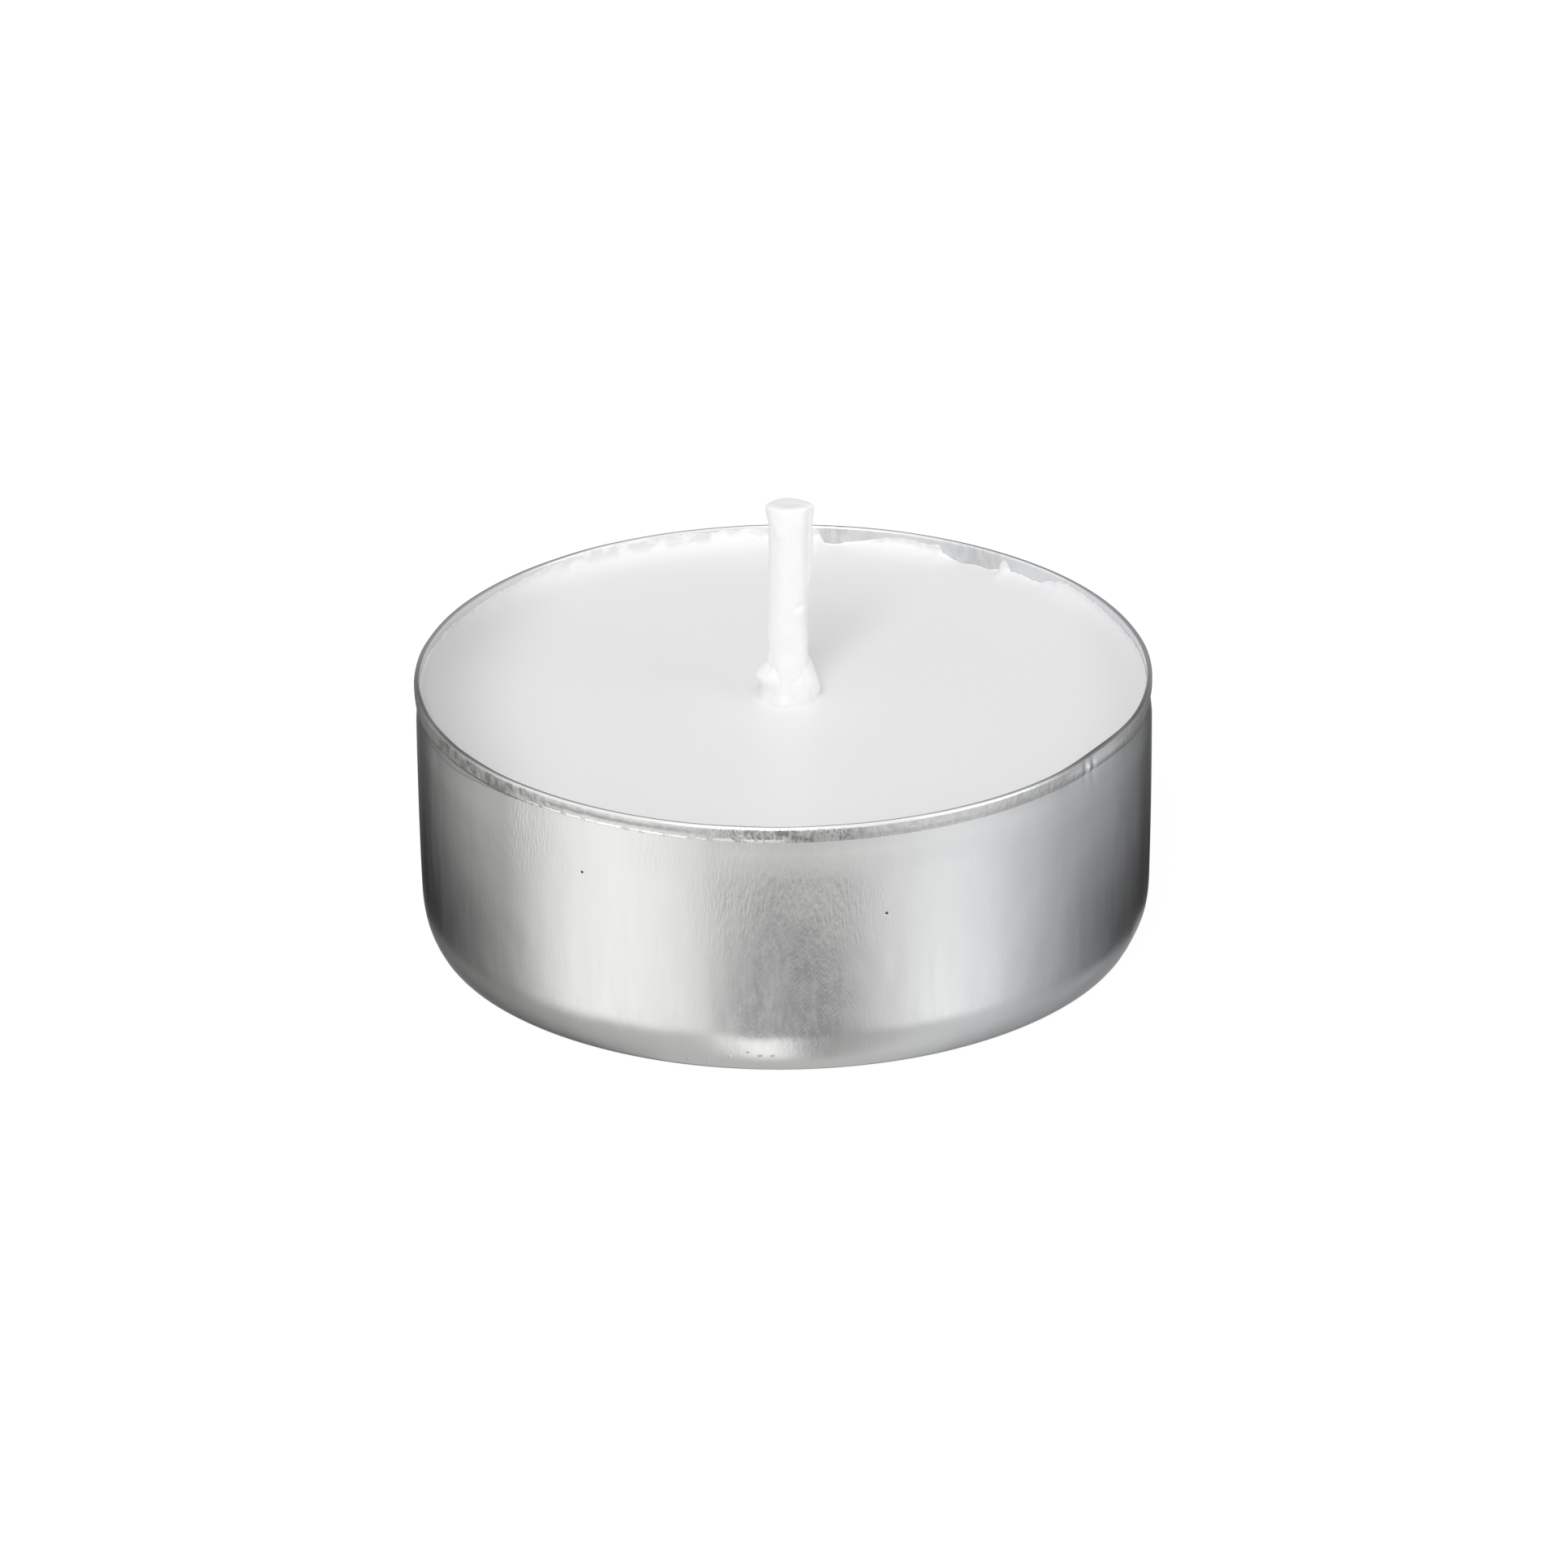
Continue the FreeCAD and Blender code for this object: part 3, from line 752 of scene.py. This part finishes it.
def lump(turn, height, azimuth, middle, wide, tall, size):
    """A smooth bulge, or a dent if the size is negative. Its azimuth and width are in degrees."""
    across = (np.degrees(turn) - azimuth + 180) % 360 - 180
    return size * np.exp(-((across / wide) ** 2) - ((height - middle) / tall) ** 2)


WALL_RIPPLES = [(5, 12, 0.020 * MM), (13, 30, 0.007 * MM)]
BELLY = 0.11 * MM
TAPER = 0.20 * MM
LEAN = 0.06 * MM
CORNER_FULLNESS = 0.08 * MM
WALL_INSET = 0.02 * MM
ripple_turns = np.linspace(-np.pi, np.pi, 3600, endpoint=False)
high_wave = sum(ripple(ripple_turns, *wave) for wave in WALL_RIPPLES)
low_wave = sum(ripple(ripple_turns, *wave) for wave in WALL_RIPPLES)
# Bulges and dents: each has an azimuth in degrees and a height in mm, a width in degrees and a height
# from its middle to its edge in mm, and how far it stands out in mm
WALL_LUMPS = [
    (-66.0, 12.95, 13.0, 0.35, -0.08),
    (72.0, 13.15, 6.0, 0.30, -0.08),
    (54.2, 13.62, 0.5, 0.30, -0.06),
    (55.3, 13.65, 0.5, 0.26, 0.03),
    (56.4, 13.62, 0.5, 0.30, -0.06),
    (-90.0, 13.9, 40.0, 1.2, -0.05),
    (59.0, 14.2, 9.5, 0.60, -0.26),
    (-4.0, 1.75, 6.0, 0.55, 0.020),
    (60.0, 1.9, 3.5, 0.6, 0.030),
    (66.0, 2.6, 3.0, 0.7, -0.035),
    (71.0, 1.7, 2.5, 0.6, 0.040),
    (76.0, 3.4, 4.0, 1.2, -0.025),
    (82.0, 1.4, 4.0, 0.8, 0.030),
    (-68.0, 2.0, 4.0, 0.8, 0.025),
    (-75.0, 3.2, 4.0, 1.0, -0.025),
]


def smooth(value, low, high):
    """0 up to low, 1 from high, and a smooth rise between them."""
    share = np.clip((value - low) / (high - low), 0, 1)
    return share * share * (3 - 2 * share)


def wall_shift(turn, height):
    """How far the wall stands out of round at a place: soft waves, a slight belly under the hem, the
    pinched rim and a dent."""
    share = np.clip(height / CUP_HEIGHT, 0, 1)
    upper = np.interp(turn, ripple_turns, high_wave, period=2 * np.pi)
    lower = np.interp(turn, ripple_turns, low_wave, period=2 * np.pi)
    shift = (upper * share + lower * (1 - share)) * np.clip(share * 4, 0, 1)
    for azimuth, middle, wide, tall, size in WALL_LUMPS:
        shift = shift + lump(turn, height, azimuth, middle * MM, wide, tall * MM, size * MM)
    below_hem = 1 - smooth(height, 11.8 * MM, 13.6 * MM)
    in_corner = 1 - smooth(height, 0.2 * MM, 2.7 * MM)
    belly = BELLY - TAPER * (1 - share) ** 3 + CORNER_FULLNESS * in_corner
    lean = LEAN * np.sin(turn) * (1 - 1.5 * in_corner)
    return shift - WALL_INSET + (belly + lean) * below_hem


def off_foot(reach):
    """How much of the wall's shift a place takes: none in the middle of the base, and all at the wall."""
    return np.clip((reach / WALL_RADIUS - 0.5) * 4, 0, 1)


def along_rim(turn, azimuth, wide, size=1.0):
    """A soft stretch of the rim about an azimuth. Its width is in degrees."""
    return lump(turn, 0, azimuth, 0, wide, 1, size)


def read_places(mesh):
    """The points of a mesh, as rows of x, y and z."""
    places = np.zeros(len(mesh.vertices) * 3)
    mesh.vertices.foreach_get("co", places)
    return places.reshape(-1, 3)


def write_places(mesh, places):
    """Moves the points of a mesh to their rows."""
    mesh.vertices.foreach_set("co", places.ravel())
    mesh.update()


# The hem is pressed on the wall at its foot, pinched to a waist in front at the left, short and loose at
# both sides, and ragged along its raw edge
HEM_PRESS = 0.045 * MM
HEM_WAIST = 0.05 * MM
WAIST_HEIGHT = CUP_HEIGHT - 0.56 * MM
WAIST_TALL = 0.13 * MM
LOOSE_PULL = 0.65
EDGE_RIPPLES = [(20, 90, 0.035 * MM), (150, 330, 0.04 * MM)]
places = read_places(cup_mesh)
reach = np.hypot(places[:, 0], places[:, 1])
turns = np.arctan2(places[:, 0], -places[:, 1])
on_flap = (reach > WALL_RADIUS + HEM_GAP / 2) & (places[:, 2] < fold_foot)
followed = np.where(on_flap, np.maximum(places[:, 2], HEM_FOOT + 0.15 * MM), places[:, 2])
moved = reach + wall_shift(turns, followed) * off_foot(reach)
loose = along_rim(turns, -66, 14) + along_rim(turns, 73, 7, 0.5)
beaded = along_rim(turns, -24, 20)
pressed = (1 - smooth(places[:, 2], HEM_FOOT, HEM_FOOT + 0.35 * MM)) * (1 - loose) * (1 - beaded)
waist = np.exp(-(((places[:, 2] - WAIST_HEIGHT) / WAIST_TALL) ** 2)) * beaded
moved = moved - on_flap * (HEM_PRESS * pressed + HEM_WAIST * waist)
moved = np.minimum(moved, OUTER_RADIUS - 0.003 * MM)
scale = np.where(reach > MM, moved / np.maximum(reach, MM), 1)
places[:, 0] *= scale
places[:, 1] *= scale
raw_edge = on_flap & (places[:, 2] < HEM_FOOT + 0.05 * MM)
edge_turns = turns[raw_edge]
jagged = 0.25 + along_rim(edge_turns, -25, 18) + along_rim(edge_turns, 78, 8, 0.6)
edge_wave = sum(ripple(edge_turns, *wave) for wave in EDGE_RIPPLES)
places[raw_edge, 2] += np.abs(edge_wave) * jagged
places[:, 2] -= on_flap * loose * LOOSE_PULL * (fold_foot - places[:, 2])
write_places(cup_mesh, places)
cup = bpy.data.objects.new("foil_cup", cup_mesh)
scene.collection.objects.link(cup)
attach(cup, "root")
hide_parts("cup")


# The sustainer: a disc of tinned steel sheet on the cup's floor, under the wax. Its middle is drawn up into
# a neck and crimped on the wick, which it holds upright. The solid is fine enough, and only gets its finish.
TIN_COLOUR = (0.72, 0.71, 0.69)

tinplate, tree, surface = new_material("tinplate", TIN_COLOUR, 0.35, metallic=1.0)
crystals = grain(tree, 700, detail=1)
tree.links.new(calc(tree, "MULTIPLY_ADD", crystals, 0.3, 0.22), surface.inputs["Roughness"])
relief(tree, surface, grain(tree, 1800, detail=2), 0.008 * MM)
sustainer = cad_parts["wick_sustainer"]
sustainer.data.materials.clear()
sustainer.data.materials.append(tinplate)


# The wick: eight cotton yarns braided into a round cord and dipped in wax, which fills the braid and
# coats it. The cutter pressed its top flat and spread it. It leans a little to the right.
WICK_FOOT = 0.55 * MM
WICK_TOP = 23.8 * MM
WICK_AT_WAX = 0.24 * MM
WICK_AT_TOP = 0.375 * MM
WAX_LEVEL = 12.85 * MM
SPREAD_LENGTH = 1.3 * MM
SPREAD_WIDER = 0.11
SPREAD_THINNER = 0.20
YARNS = 8
LAY = 7.0 * MM
YARN_RELIEF = 0.035 * MM
COTTON_COLOUR = (0.90, 0.90, 0.905)
# Painted shade for the wick's lower flare and the low collar, which face up into more light
FLARE_SHADE_COLOUR = (0.835, 0.835, 0.84)


def wick_middle(height):
    """How far right of the cup's middle the wick's own middle is."""
    share = (height - WAX_LEVEL) / (WICK_TOP - WAX_LEVEL)
    return WICK_AT_WAX + (WICK_AT_TOP - WICK_AT_WAX) * share


def braid_relief():
    """The modelling tree that raises the braid on a smooth cord: yarns wind both ways round it, and at
    each crossing the two hands take turns to lie on top."""
    tree, given, result = new_modelling_tree(
        "braid_relief", [("Yarns", "Int"), ("Lay", "Float"), ("Relief", "Float"), ("Finish", "Material")]
    )
    place = tree.nodes.new("GeometryNodeInputPosition").outputs[0]
    split = place_node(tree, "ShaderNodeSeparateXYZ", Vector=place)
    pairs = calc(tree, "MULTIPLY", given.outputs["Yarns"], 0.5)
    angle = calc(tree, "ARCTAN2", split.outputs["Y"], split.outputs["X"])
    turn = calc(tree, "MULTIPLY", calc(tree, "MULTIPLY", angle, 0.5), pairs)
    climb = calc(tree, "MULTIPLY", split.outputs["Z"], math.pi)
    climb = calc(tree, "MULTIPLY", calc(tree, "DIVIDE", climb, given.outputs["Lay"]), pairs)
    right_hand = calc(tree, "SINE", calc(tree, "ADD", turn, climb))
    left_hand = calc(tree, "SINE", calc(tree, "SUBTRACT", turn, climb))
    over = calc(tree, "MULTIPLY", right_hand, left_hand)
    heights = []
    for hand, side in ((right_hand, 0.5), (left_hand, -0.5)):
        on_top = calc(tree, "MULTIPLY_ADD", over, side, 0.5)
        heights.append(calc(tree, "MULTIPLY", calc(tree, "ABSOLUTE", hand), on_top))
    height = calc(tree, "MULTIPLY", any_of(tree, heights), given.outputs["Relief"])
    offset = place_node(
        tree,
        "ShaderNodeCombineXYZ",
        X=calc(tree, "MULTIPLY", height, calc(tree, "COSINE", angle)),
        Y=calc(tree, "MULTIPLY", height, calc(tree, "SINE", angle)),
    )
    raised = place_node(
        tree, "GeometryNodeSetPosition", Geometry=given.outputs["Geometry"], Offset=offset.outputs[0]
    )
    end_tree(tree, given, result, raised.outputs[0])
    return tree


def waxed_cotton():
    """White cotton soaked in wax: nearly as white as paper, with a soft sheen, and a little greyer low on
    its flare, where its coat runs out into the poured wax: painted shade, as the flare faces up into more
    light."""
    material, tree, surface = new_material("waxed_cotton", COTTON_COLOUR, 0.42)
    surface.inputs["Subsurface Weight"].default_value = 0.6
    surface.inputs["Subsurface Radius"].default_value = (1.0, 0.95, 0.9)
    surface.inputs["Subsurface Scale"].default_value = 0.05 * MM
    place = tree.nodes.new("ShaderNodeTexCoord").outputs["Object"]
    split = place_node(tree, "ShaderNodeSeparateXYZ", Vector=place)
    # Painted shade low on the flare
    shaded_flare = ease(tree, split.outputs["Z"], 14.2 * MM, 13.5 * MM)
    tree.links.new(blend(tree, shaded_flare, COTTON_COLOUR, FLARE_SHADE_COLOUR), surface.inputs["Base Color"])
    relief(tree, surface, grain(tree, 3500, stretch=0.5, detail=3), 0.03 * MM)
    return material


cotton = waxed_cotton()


def spread(x, y, height):
    """Lays the round cord to the wick's real shape: oval at the cut, and leaning to the right."""
    share = np.clip((height - (WICK_TOP - SPREAD_LENGTH)) / SPREAD_LENGTH, 0, 1) ** 1.5
    return x * (1 + SPREAD_WIDER * share) + wick_middle(height), y * (1 - SPREAD_THINNER * share)


COAT_SIDES = 128
COAT_RADIUS = 0.985 * MM
COAT_THICKER = 0.10 * MM
COAT_RIPPLE = (2, 7, 0.03 * MM)
CUT_HEIGHT = WICK_TOP - 0.14 * MM
YARN_END_RISE = 0.015 * MM
# Rows of points up the coat: where each stretch starts and ends, and how many it has
COAT_STRETCHES = ((WICK_FOOT, 12.25 * MM, 50), (12.3 * MM, 16 * MM, 90), (16.08 * MM, CUT_HEIGHT, 90))
# Where the coat runs out into the poured wax: its radii at their heights, in mm
FLARE_HEIGHTS = (12.3, 12.6, 12.82, 12.9, 13.0, 13.15, 13.4, 13.7, 14.0, 14.5)
FLARE_RADII = (1.00, 1.80, 1.80, 1.68, 1.54, 1.41, 1.27, 1.15, 1.07, 1.00)
# The cut face: the share of the coat's radius that a row has, and how far it rises over the cut, in mm
CUT_FACE = (
    (0.99, 0.030),
    (0.965, 0.056),
    (0.925, 0.078),
    (0.86, 0.094),
    (0.76, 0.102),
    (0.60, 0.102),
    (0.44, 0.096),
    (0.30, 0.090),
    (0.15, 0.088),
)
# Lumps and one nick in the coat, given as the wall's bulges are
COAT_LUMPS = [
    (90, 21.3, 16, 2.0, 0.26),
    (90, 23.2, 14, 0.9, 0.14),
    (-90, 23.2, 13, 0.5, 0.10),
    (90, 19.6, 22, 0.9, 0.10),
    (-30, 22.4, 14, 0.30, 0.08),
    (35, 17.9, 16, 0.35, 0.10),
    (38, 18.3, 12, 0.15, -0.12),
    (-60, 16.6, 40, 1.2, 0.07),
    (70, 16.0, 30, 0.8, 0.05),
]


def coat_reach(turn, height):
    """How far the coat of wax reaches from the wick's middle, before the cut spread it."""
    reach = COAT_RADIUS + COAT_THICKER * (1 - smooth(height, 14.8 * MM, 15.9 * MM)) + 0 * turn
    reach = np.maximum(reach, np.interp(height / MM, FLARE_HEIGHTS, FLARE_RADII) * MM)
    for azimuth, middle, wide, tall, size in COAT_LUMPS:
        reach = reach + lump(turn, height, azimuth, middle * MM, wide, tall * MM, size * MM)
    return reach


def row_round(turn, reach, height):
    """A row of points that runs round the candle."""
    return np.stack([reach * np.sin(turn), -reach * np.cos(turn), height + 0 * turn], axis=-1)


def lathe_mesh(name, rows, closed, material):
    """A smooth mesh through rows of points that run round the candle. Where closed is true the last row
    joins the first, and otherwise each end is closed by a point in its middle."""
    rows = np.asarray(rows)
    count, around = rows.shape[:2]
    mesh = bpy.data.meshes.new(name)
    points = [tuple(p) for p in rows.reshape(-1, 3)]
    faces = []
    for row in range(count if closed else count - 1):
        following = (row + 1) % count
        for step in range(around):
            beside = (step + 1) % around
            faces.append(
                (
                    row * around + step,
                    row * around + beside,
                    following * around + beside,
                    following * around + step,
                )
            )
    if not closed:
        for row, order in ((0, -1), (count - 1, 1)):
            middle = len(points)
            points.append(tuple(rows[row].mean(axis=0)))
            for step in range(around):
                pair = (row * around + step, row * around + (step + 1) % around)[::order]
                faces.append((*pair, middle))
    mesh.from_pydata(points, [], faces)
    shell = bmesh.new()
    shell.from_mesh(mesh)
    bmesh.ops.recalc_face_normals(shell, faces=shell.faces)
    for face in shell.faces:
        face.smooth = True
    shell.to_mesh(mesh)
    shell.free()
    mesh.materials.append(material)
    return mesh


turn = np.linspace(0, 2 * np.pi, COAT_SIDES, endpoint=False)
unevenness = ripple(turn, *COAT_RIPPLE)
rows = []
for height in np.concatenate([np.linspace(*stretch) for stretch in COAT_STRETCHES]):
    rows.append(row_round(turn, coat_reach(turn, height) + unevenness, height))
for share, rise in CUT_FACE:
    reach = (coat_reach(turn, CUT_HEIGHT) + unevenness) * share
    yarn_ends = YARN_END_RISE * np.cos(turn * YARNS / 2) ** 2 * max(0, 1 - ((share - 0.62) / 0.3) ** 2)
    rows.append(row_round(turn, reach, CUT_HEIGHT + rise * MM + yarn_ends))
cord = bpy.data.objects.new("cord", lathe_mesh("cord", rows, False, cotton))
scene.collection.objects.link(cord)
wick_mesh = make_mesh(
    cord, braid_relief(), {"Yarns": YARNS, "Lay": LAY, "Relief": YARN_RELIEF, "Finish": cotton}
)
places = read_places(wick_mesh)
places[:, 0], places[:, 1] = spread(places[:, 0], places[:, 1], places[:, 2])
write_places(wick_mesh, places)
wick = bpy.data.objects.new("waxed_wick", wick_mesh)
scene.collection.objects.link(wick)
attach(wick, "root")
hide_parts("wick")


# The wax: paraffin poured hot into the cup round the standing wick. It sank as it set, so its top is
# dished, climbs the wick in a lumpy collar, and leaves films and ragged flakes up the inside of the foil.
WAX_SEGMENTS = 720
WAX_COLOUR = (0.868, 0.866, 0.868)
# Painted shade for the wax near the wall at the sides
SIDE_SHADE_COLOUR = (0.58, 0.58, 0.585)
FILM_COLOUR = (0.77, 0.77, 0.775)
# Painted light: a whiter colour for where the wax takes more light
LIT_WAX_COLOUR = (0.90, 0.90, 0.90)
DISH_START = 2.2 * MM
DISH_RISE = 0.42 * MM
CLIMB_WIDTH = 1.9 * MM
FILM_THICKNESS = 0.03 * MM
FILM_RIPPLES = [(30, 90, 0.03 * MM), (100, 300, 0.03 * MM)]
HOLE_RADIUS = 0.55 * MM
LIP_TOP = 15.42 * MM
NECK_TOP = 3.85 * MM
CORNER_TOP = 3.0 * MM
DISC_EDGE = 6.9 * MM
COLLAR_ROWS = 44
COLLAR_RIPPLE = (2, 8, 0.05 * MM)
COLLAR_GRIT = (9, 22, 0.015 * MM)
# The hollow that the sustainer fills: a radius and a height in mm, and 1 for a row about the cup's middle
# or 0 for one about the wick's
SUSTAINER_HOLLOW = ((7.12, 0.54, 1), (7.12, 0.80, 1), (1.9, 0.82, 0), (1.45, 1.4, 0), (1.42, 3.85, 0))
# The collar's radii in front, at the left and at the right, at their heights, in mm
COLLAR_HEIGHTS = (15.42, 15.3, 15.1, 14.8, 14.5, 14.2, 14.0, 13.7, 13.4, 13.15, 12.98, 12.9, 12.85)
COLLAR_FRONT = (0.90, 0.90, 0.90, 0.91, 0.93, 0.96, 0.99, 1.07, 1.20, 1.34, 1.46, 1.60, 1.90)
COLLAR_LEFT = (0.95, 0.98, 1.04, 1.22, 1.52, 1.77, 1.70, 1.50, 1.44, 1.54, 1.64, 1.74, 1.95)
COLLAR_RIGHT = (0.95, 0.99, 1.06, 1.20, 1.35, 1.45, 1.52, 1.63, 1.72, 1.68, 1.60, 1.64, 1.90)
# How far the wax stops below the rim, in mm, at each azimuth in degrees
BARE_STRIP = (
    (-180, 0.08),
    (-174, 0.12),
    (-169, 0.20),
    (-164, 0.12),
    (-158, 0.09),
    (-151, 0.08),
    (-145, 0.10),
    (-140, 0.22),
    (-132, 0.44),
    (-118, 0.58),
    (-100, 0.48),
    (-80, 0.42),
    (-50, 0.50),
    (-20, 0.40),
    (15, 0.55),
    (60, 0.45),
    (90, 0.55),
    (112, 0.52),
    (124, 0.34),
    (129.0, 0.24),
    (130.5, 0.50),
    (133.0, 0.74),
    (135.5, 0.92),
    (138.0, 0.78),
    (140.2, 0.80),
    (140.8, 0.34),
    (141.8, 0.26),
    (142.4, 0.90),
    (144.5, 1.14),
    (147.0, 1.02),
    (149.0, 1.18),
    (151.0, 1.00),
    (153.0, 0.80),
    (153.6, 0.34),
    (157.0, 0.44),
    (160.0, 0.28),
    (163.0, 0.42),
    (164.5, 0.50),
    (167.0, 0.72),
    (169.5, 0.84),
    (171.5, 1.02),
    (173.2, 0.96),
    (173.9, 0.20),
    (175.0, 0.09),
    (180, 0.08),
)


def poured_wax():
    """White paraffin: light goes into it and comes out softened, and its skin has a faint sheen. Painted
    light
    in its colour: painted brightness round the wick and up the far climb, painted shade low on the collar,
    and painted shade in two patches near the wall, at the left and less at the right."""
    material, tree, surface = new_material("poured_wax", WAX_COLOUR, 0.45)
    surface.inputs["Subsurface Weight"].default_value = 0.4
    surface.inputs["Subsurface Radius"].default_value = (1.0, 0.95, 0.9)
    surface.inputs["Subsurface Scale"].default_value = 0.05 * MM
    place = tree.nodes.new("ShaderNodeTexCoord").outputs["Object"]
    split = place_node(tree, "ShaderNodeSeparateXYZ", Vector=place)
    reach = tree.nodes.new("ShaderNodeVectorMath")
    reach.operation = "DISTANCE"
    reach.inputs[1].default_value = (0, 0, WAX_LEVEL)
    tree.links.new(place, reach.inputs[0])
    # Painted shade: the wax near the wall is darkened at the left, and less at the right
    near_wall = ease(tree, reach.outputs["Value"], 10.5 * MM, 19.0 * MM)
    to_left = ease(tree, calc(tree, "MULTIPLY", split.outputs["X"], -1), 10.5 * MM, 19.0 * MM)
    to_right = ease(tree, split.outputs["X"], 14.0 * MM, 19.0 * MM)
    sides = any_of(tree, [to_left, calc(tree, "MULTIPLY", to_right, 0.25)])
    clear = calc(tree, "MULTIPLY", near_wall, sides)
    colour = blend(tree, clear, WAX_COLOUR, SIDE_SHADE_COLOUR)
    smudges = ease(tree, grain(tree, 1100, stretch=1.5, detail=3), 0.38, 0.58)
    height = split.outputs["Z"]
    film = calc(tree, "MULTIPLY", ease(tree, height, 13.35 * MM, 13.75 * MM), smudges)
    # Painted light: the wax round the wick and up the far climb is painted whiter
    far_climb = ease(tree, split.outputs["Y"], 14.5 * MM, 17.8 * MM)
    near_wick = spot(tree, (WICK_AT_WAX, -1.0 * MM, WAX_LEVEL + 0.6 * MM), 7.5 * MM)
    white = any_of(tree, [near_wick, far_climb])
    colour = blend(tree, white, colour, LIT_WAX_COLOUR)
    # Painted shade low on the collar, which faces up into more light
    shaded_low_collar = calc(tree, "MULTIPLY", near_wick, ease(tree, height, 14.2 * MM, 13.5 * MM))
    shaded_low_collar = calc(tree, "MULTIPLY", shaded_low_collar, ease(tree, height, 12.90 * MM, 13.10 * MM))
    colour = blend(tree, shaded_low_collar, colour, FLARE_SHADE_COLOUR)
    near_rim = calc(tree, "MULTIPLY", film, ease(tree, reach.outputs["Value"], 17.0 * MM, 18.5 * MM))
    tree.links.new(blend(tree, near_rim, colour, FILM_COLOUR), surface.inputs["Base Color"])
    relief(tree, surface, grain(tree, 500, detail=3), 0.012 * MM)
    return material


paraffin = poured_wax()
turn = np.linspace(-np.pi, np.pi, WAX_SEGMENTS, endpoint=False)
azimuths, strips = zip(*BARE_STRIP)
bare = np.interp(np.degrees(turn), azimuths, strips) * MM
for wave in FILM_RIPPLES:
    bare = bare + ripple(turn, *wave)
film_top = CUP_HEIGHT - np.clip(bare, 0.07 * MM, 1.35 * MM)


def wax_row(radius, height, centred=1.0):
    """One row of the casting. Centred is 1 for a row about the cup's middle and 0 for the wick's."""
    row = row_round(turn, radius, height)
    row[:, 0] += (1 - centred) * wick_middle(row[:, 2])
    return row


def at_wall(height, inset=0.0):
    """The radius of the foil's inside at a height on the straight wall."""
    return INNER_RADIUS + wall_shift(turn, height + 0 * turn) - inset


def dish(radius):
    """The height of the sunk top at a radius."""
    return WAX_LEVEL + DISH_RISE * (radius / INNER_RADIUS) ** 5


def collar_radius(height, radii):
    """The collar's radius at a height, on one of its three sides."""
    return np.interp(height, COLLAR_HEIGHTS[::-1], radii[::-1])


# Up the wick's hole, and down the collar
rows = [wax_row(HOLE_RADIUS, height, 0) for height in np.linspace(NECK_TOP, LIP_TOP - 0.1 * MM, 10)]
collar_ripple = ripple(turn, *COLLAR_RIPPLE)
collar_grit = ripple(turn, *COLLAR_GRIT)
left_share = np.clip(-np.sin(turn), 0, 1) ** 1.6
right_share = np.clip(np.sin(turn), 0, 1) ** 1.6
collar_heights = np.linspace(COLLAR_HEIGHTS[0], COLLAR_HEIGHTS[-1], COLLAR_ROWS)
collar = []
for height in collar_heights:
    front = collar_radius(height, COLLAR_FRONT)
    to_left = (collar_radius(height, COLLAR_LEFT) - front) * left_share
    to_right = (collar_radius(height, COLLAR_RIGHT) - front) * right_share
    radius = front + to_left + to_right
    near_lip = np.clip((COLLAR_HEIGHTS[0] - height) / 0.4, 0, 1)
    lumps = collar_ripple * math.cos(height * 2.1) + collar_grit * math.sin(height * 5)
    collar.append(radius * MM + lumps * near_lip)
for _ in range(3):
    collar[1:-1] = [(a + 2 * b + c) / 4 for a, b, c in zip(collar, collar[1:], collar[2:])]
for height, radius in zip(collar_heights, collar):
    rows.append(wax_row(radius, height * MM, 0))

# Across the dish, up the wall to the ragged end of the film, and over it
dish_end = INNER_RADIUS - CLIMB_WIDTH
for share in np.linspace(0, 1, 26):
    radius = DISH_START + (dish_end - DISH_START) * share
    rows.append(wax_row(radius, dish(radius), min(1, share * 3)))
dish_edge = dish(dish_end)
climb = film_top - dish_edge
for share in np.linspace(0.06, 1, 14):
    height = dish_edge + climb * share**1.7
    radius = at_wall(height, FILM_THICKNESS) - (CLIMB_WIDTH - FILM_THICKNESS) * (1 - share) ** 2.6
    rows.append(wax_row(radius, height))
rows.append(wax_row(at_wall(film_top, 0.012 * MM), film_top + 0.015 * MM))
rows.append(wax_row(at_wall(film_top, -0.01 * MM), film_top + 0.012 * MM))

# Down the wall, in along the cup's corner and floor, and round the sustainer
for height in np.linspace(12.4, 3.2, 6) * MM:
    rows.append(wax_row(at_wall(height, -0.005 * MM), height))
for place in foil_skin(FOIL, CORNER_TOP, 5)[::-1]:
    if place.x > DISC_EDGE and place.y < CORNER_TOP - 0.1 * MM:
        shift = wall_shift(turn, place.y + 0 * turn) * off_foot(place.x)
        rows.append(wax_row(place.x + shift - 0.002 * MM, place.y + 0.004 * MM))
for radius, height, centred in SUSTAINER_HOLLOW:
    rows.append(wax_row(radius * MM, height * MM, centred))
wax = bpy.data.objects.new("poured_wax", lathe_mesh("poured_wax", rows, True, paraffin))
scene.collection.objects.link(wax)
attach(wax, "root")
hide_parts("wax")
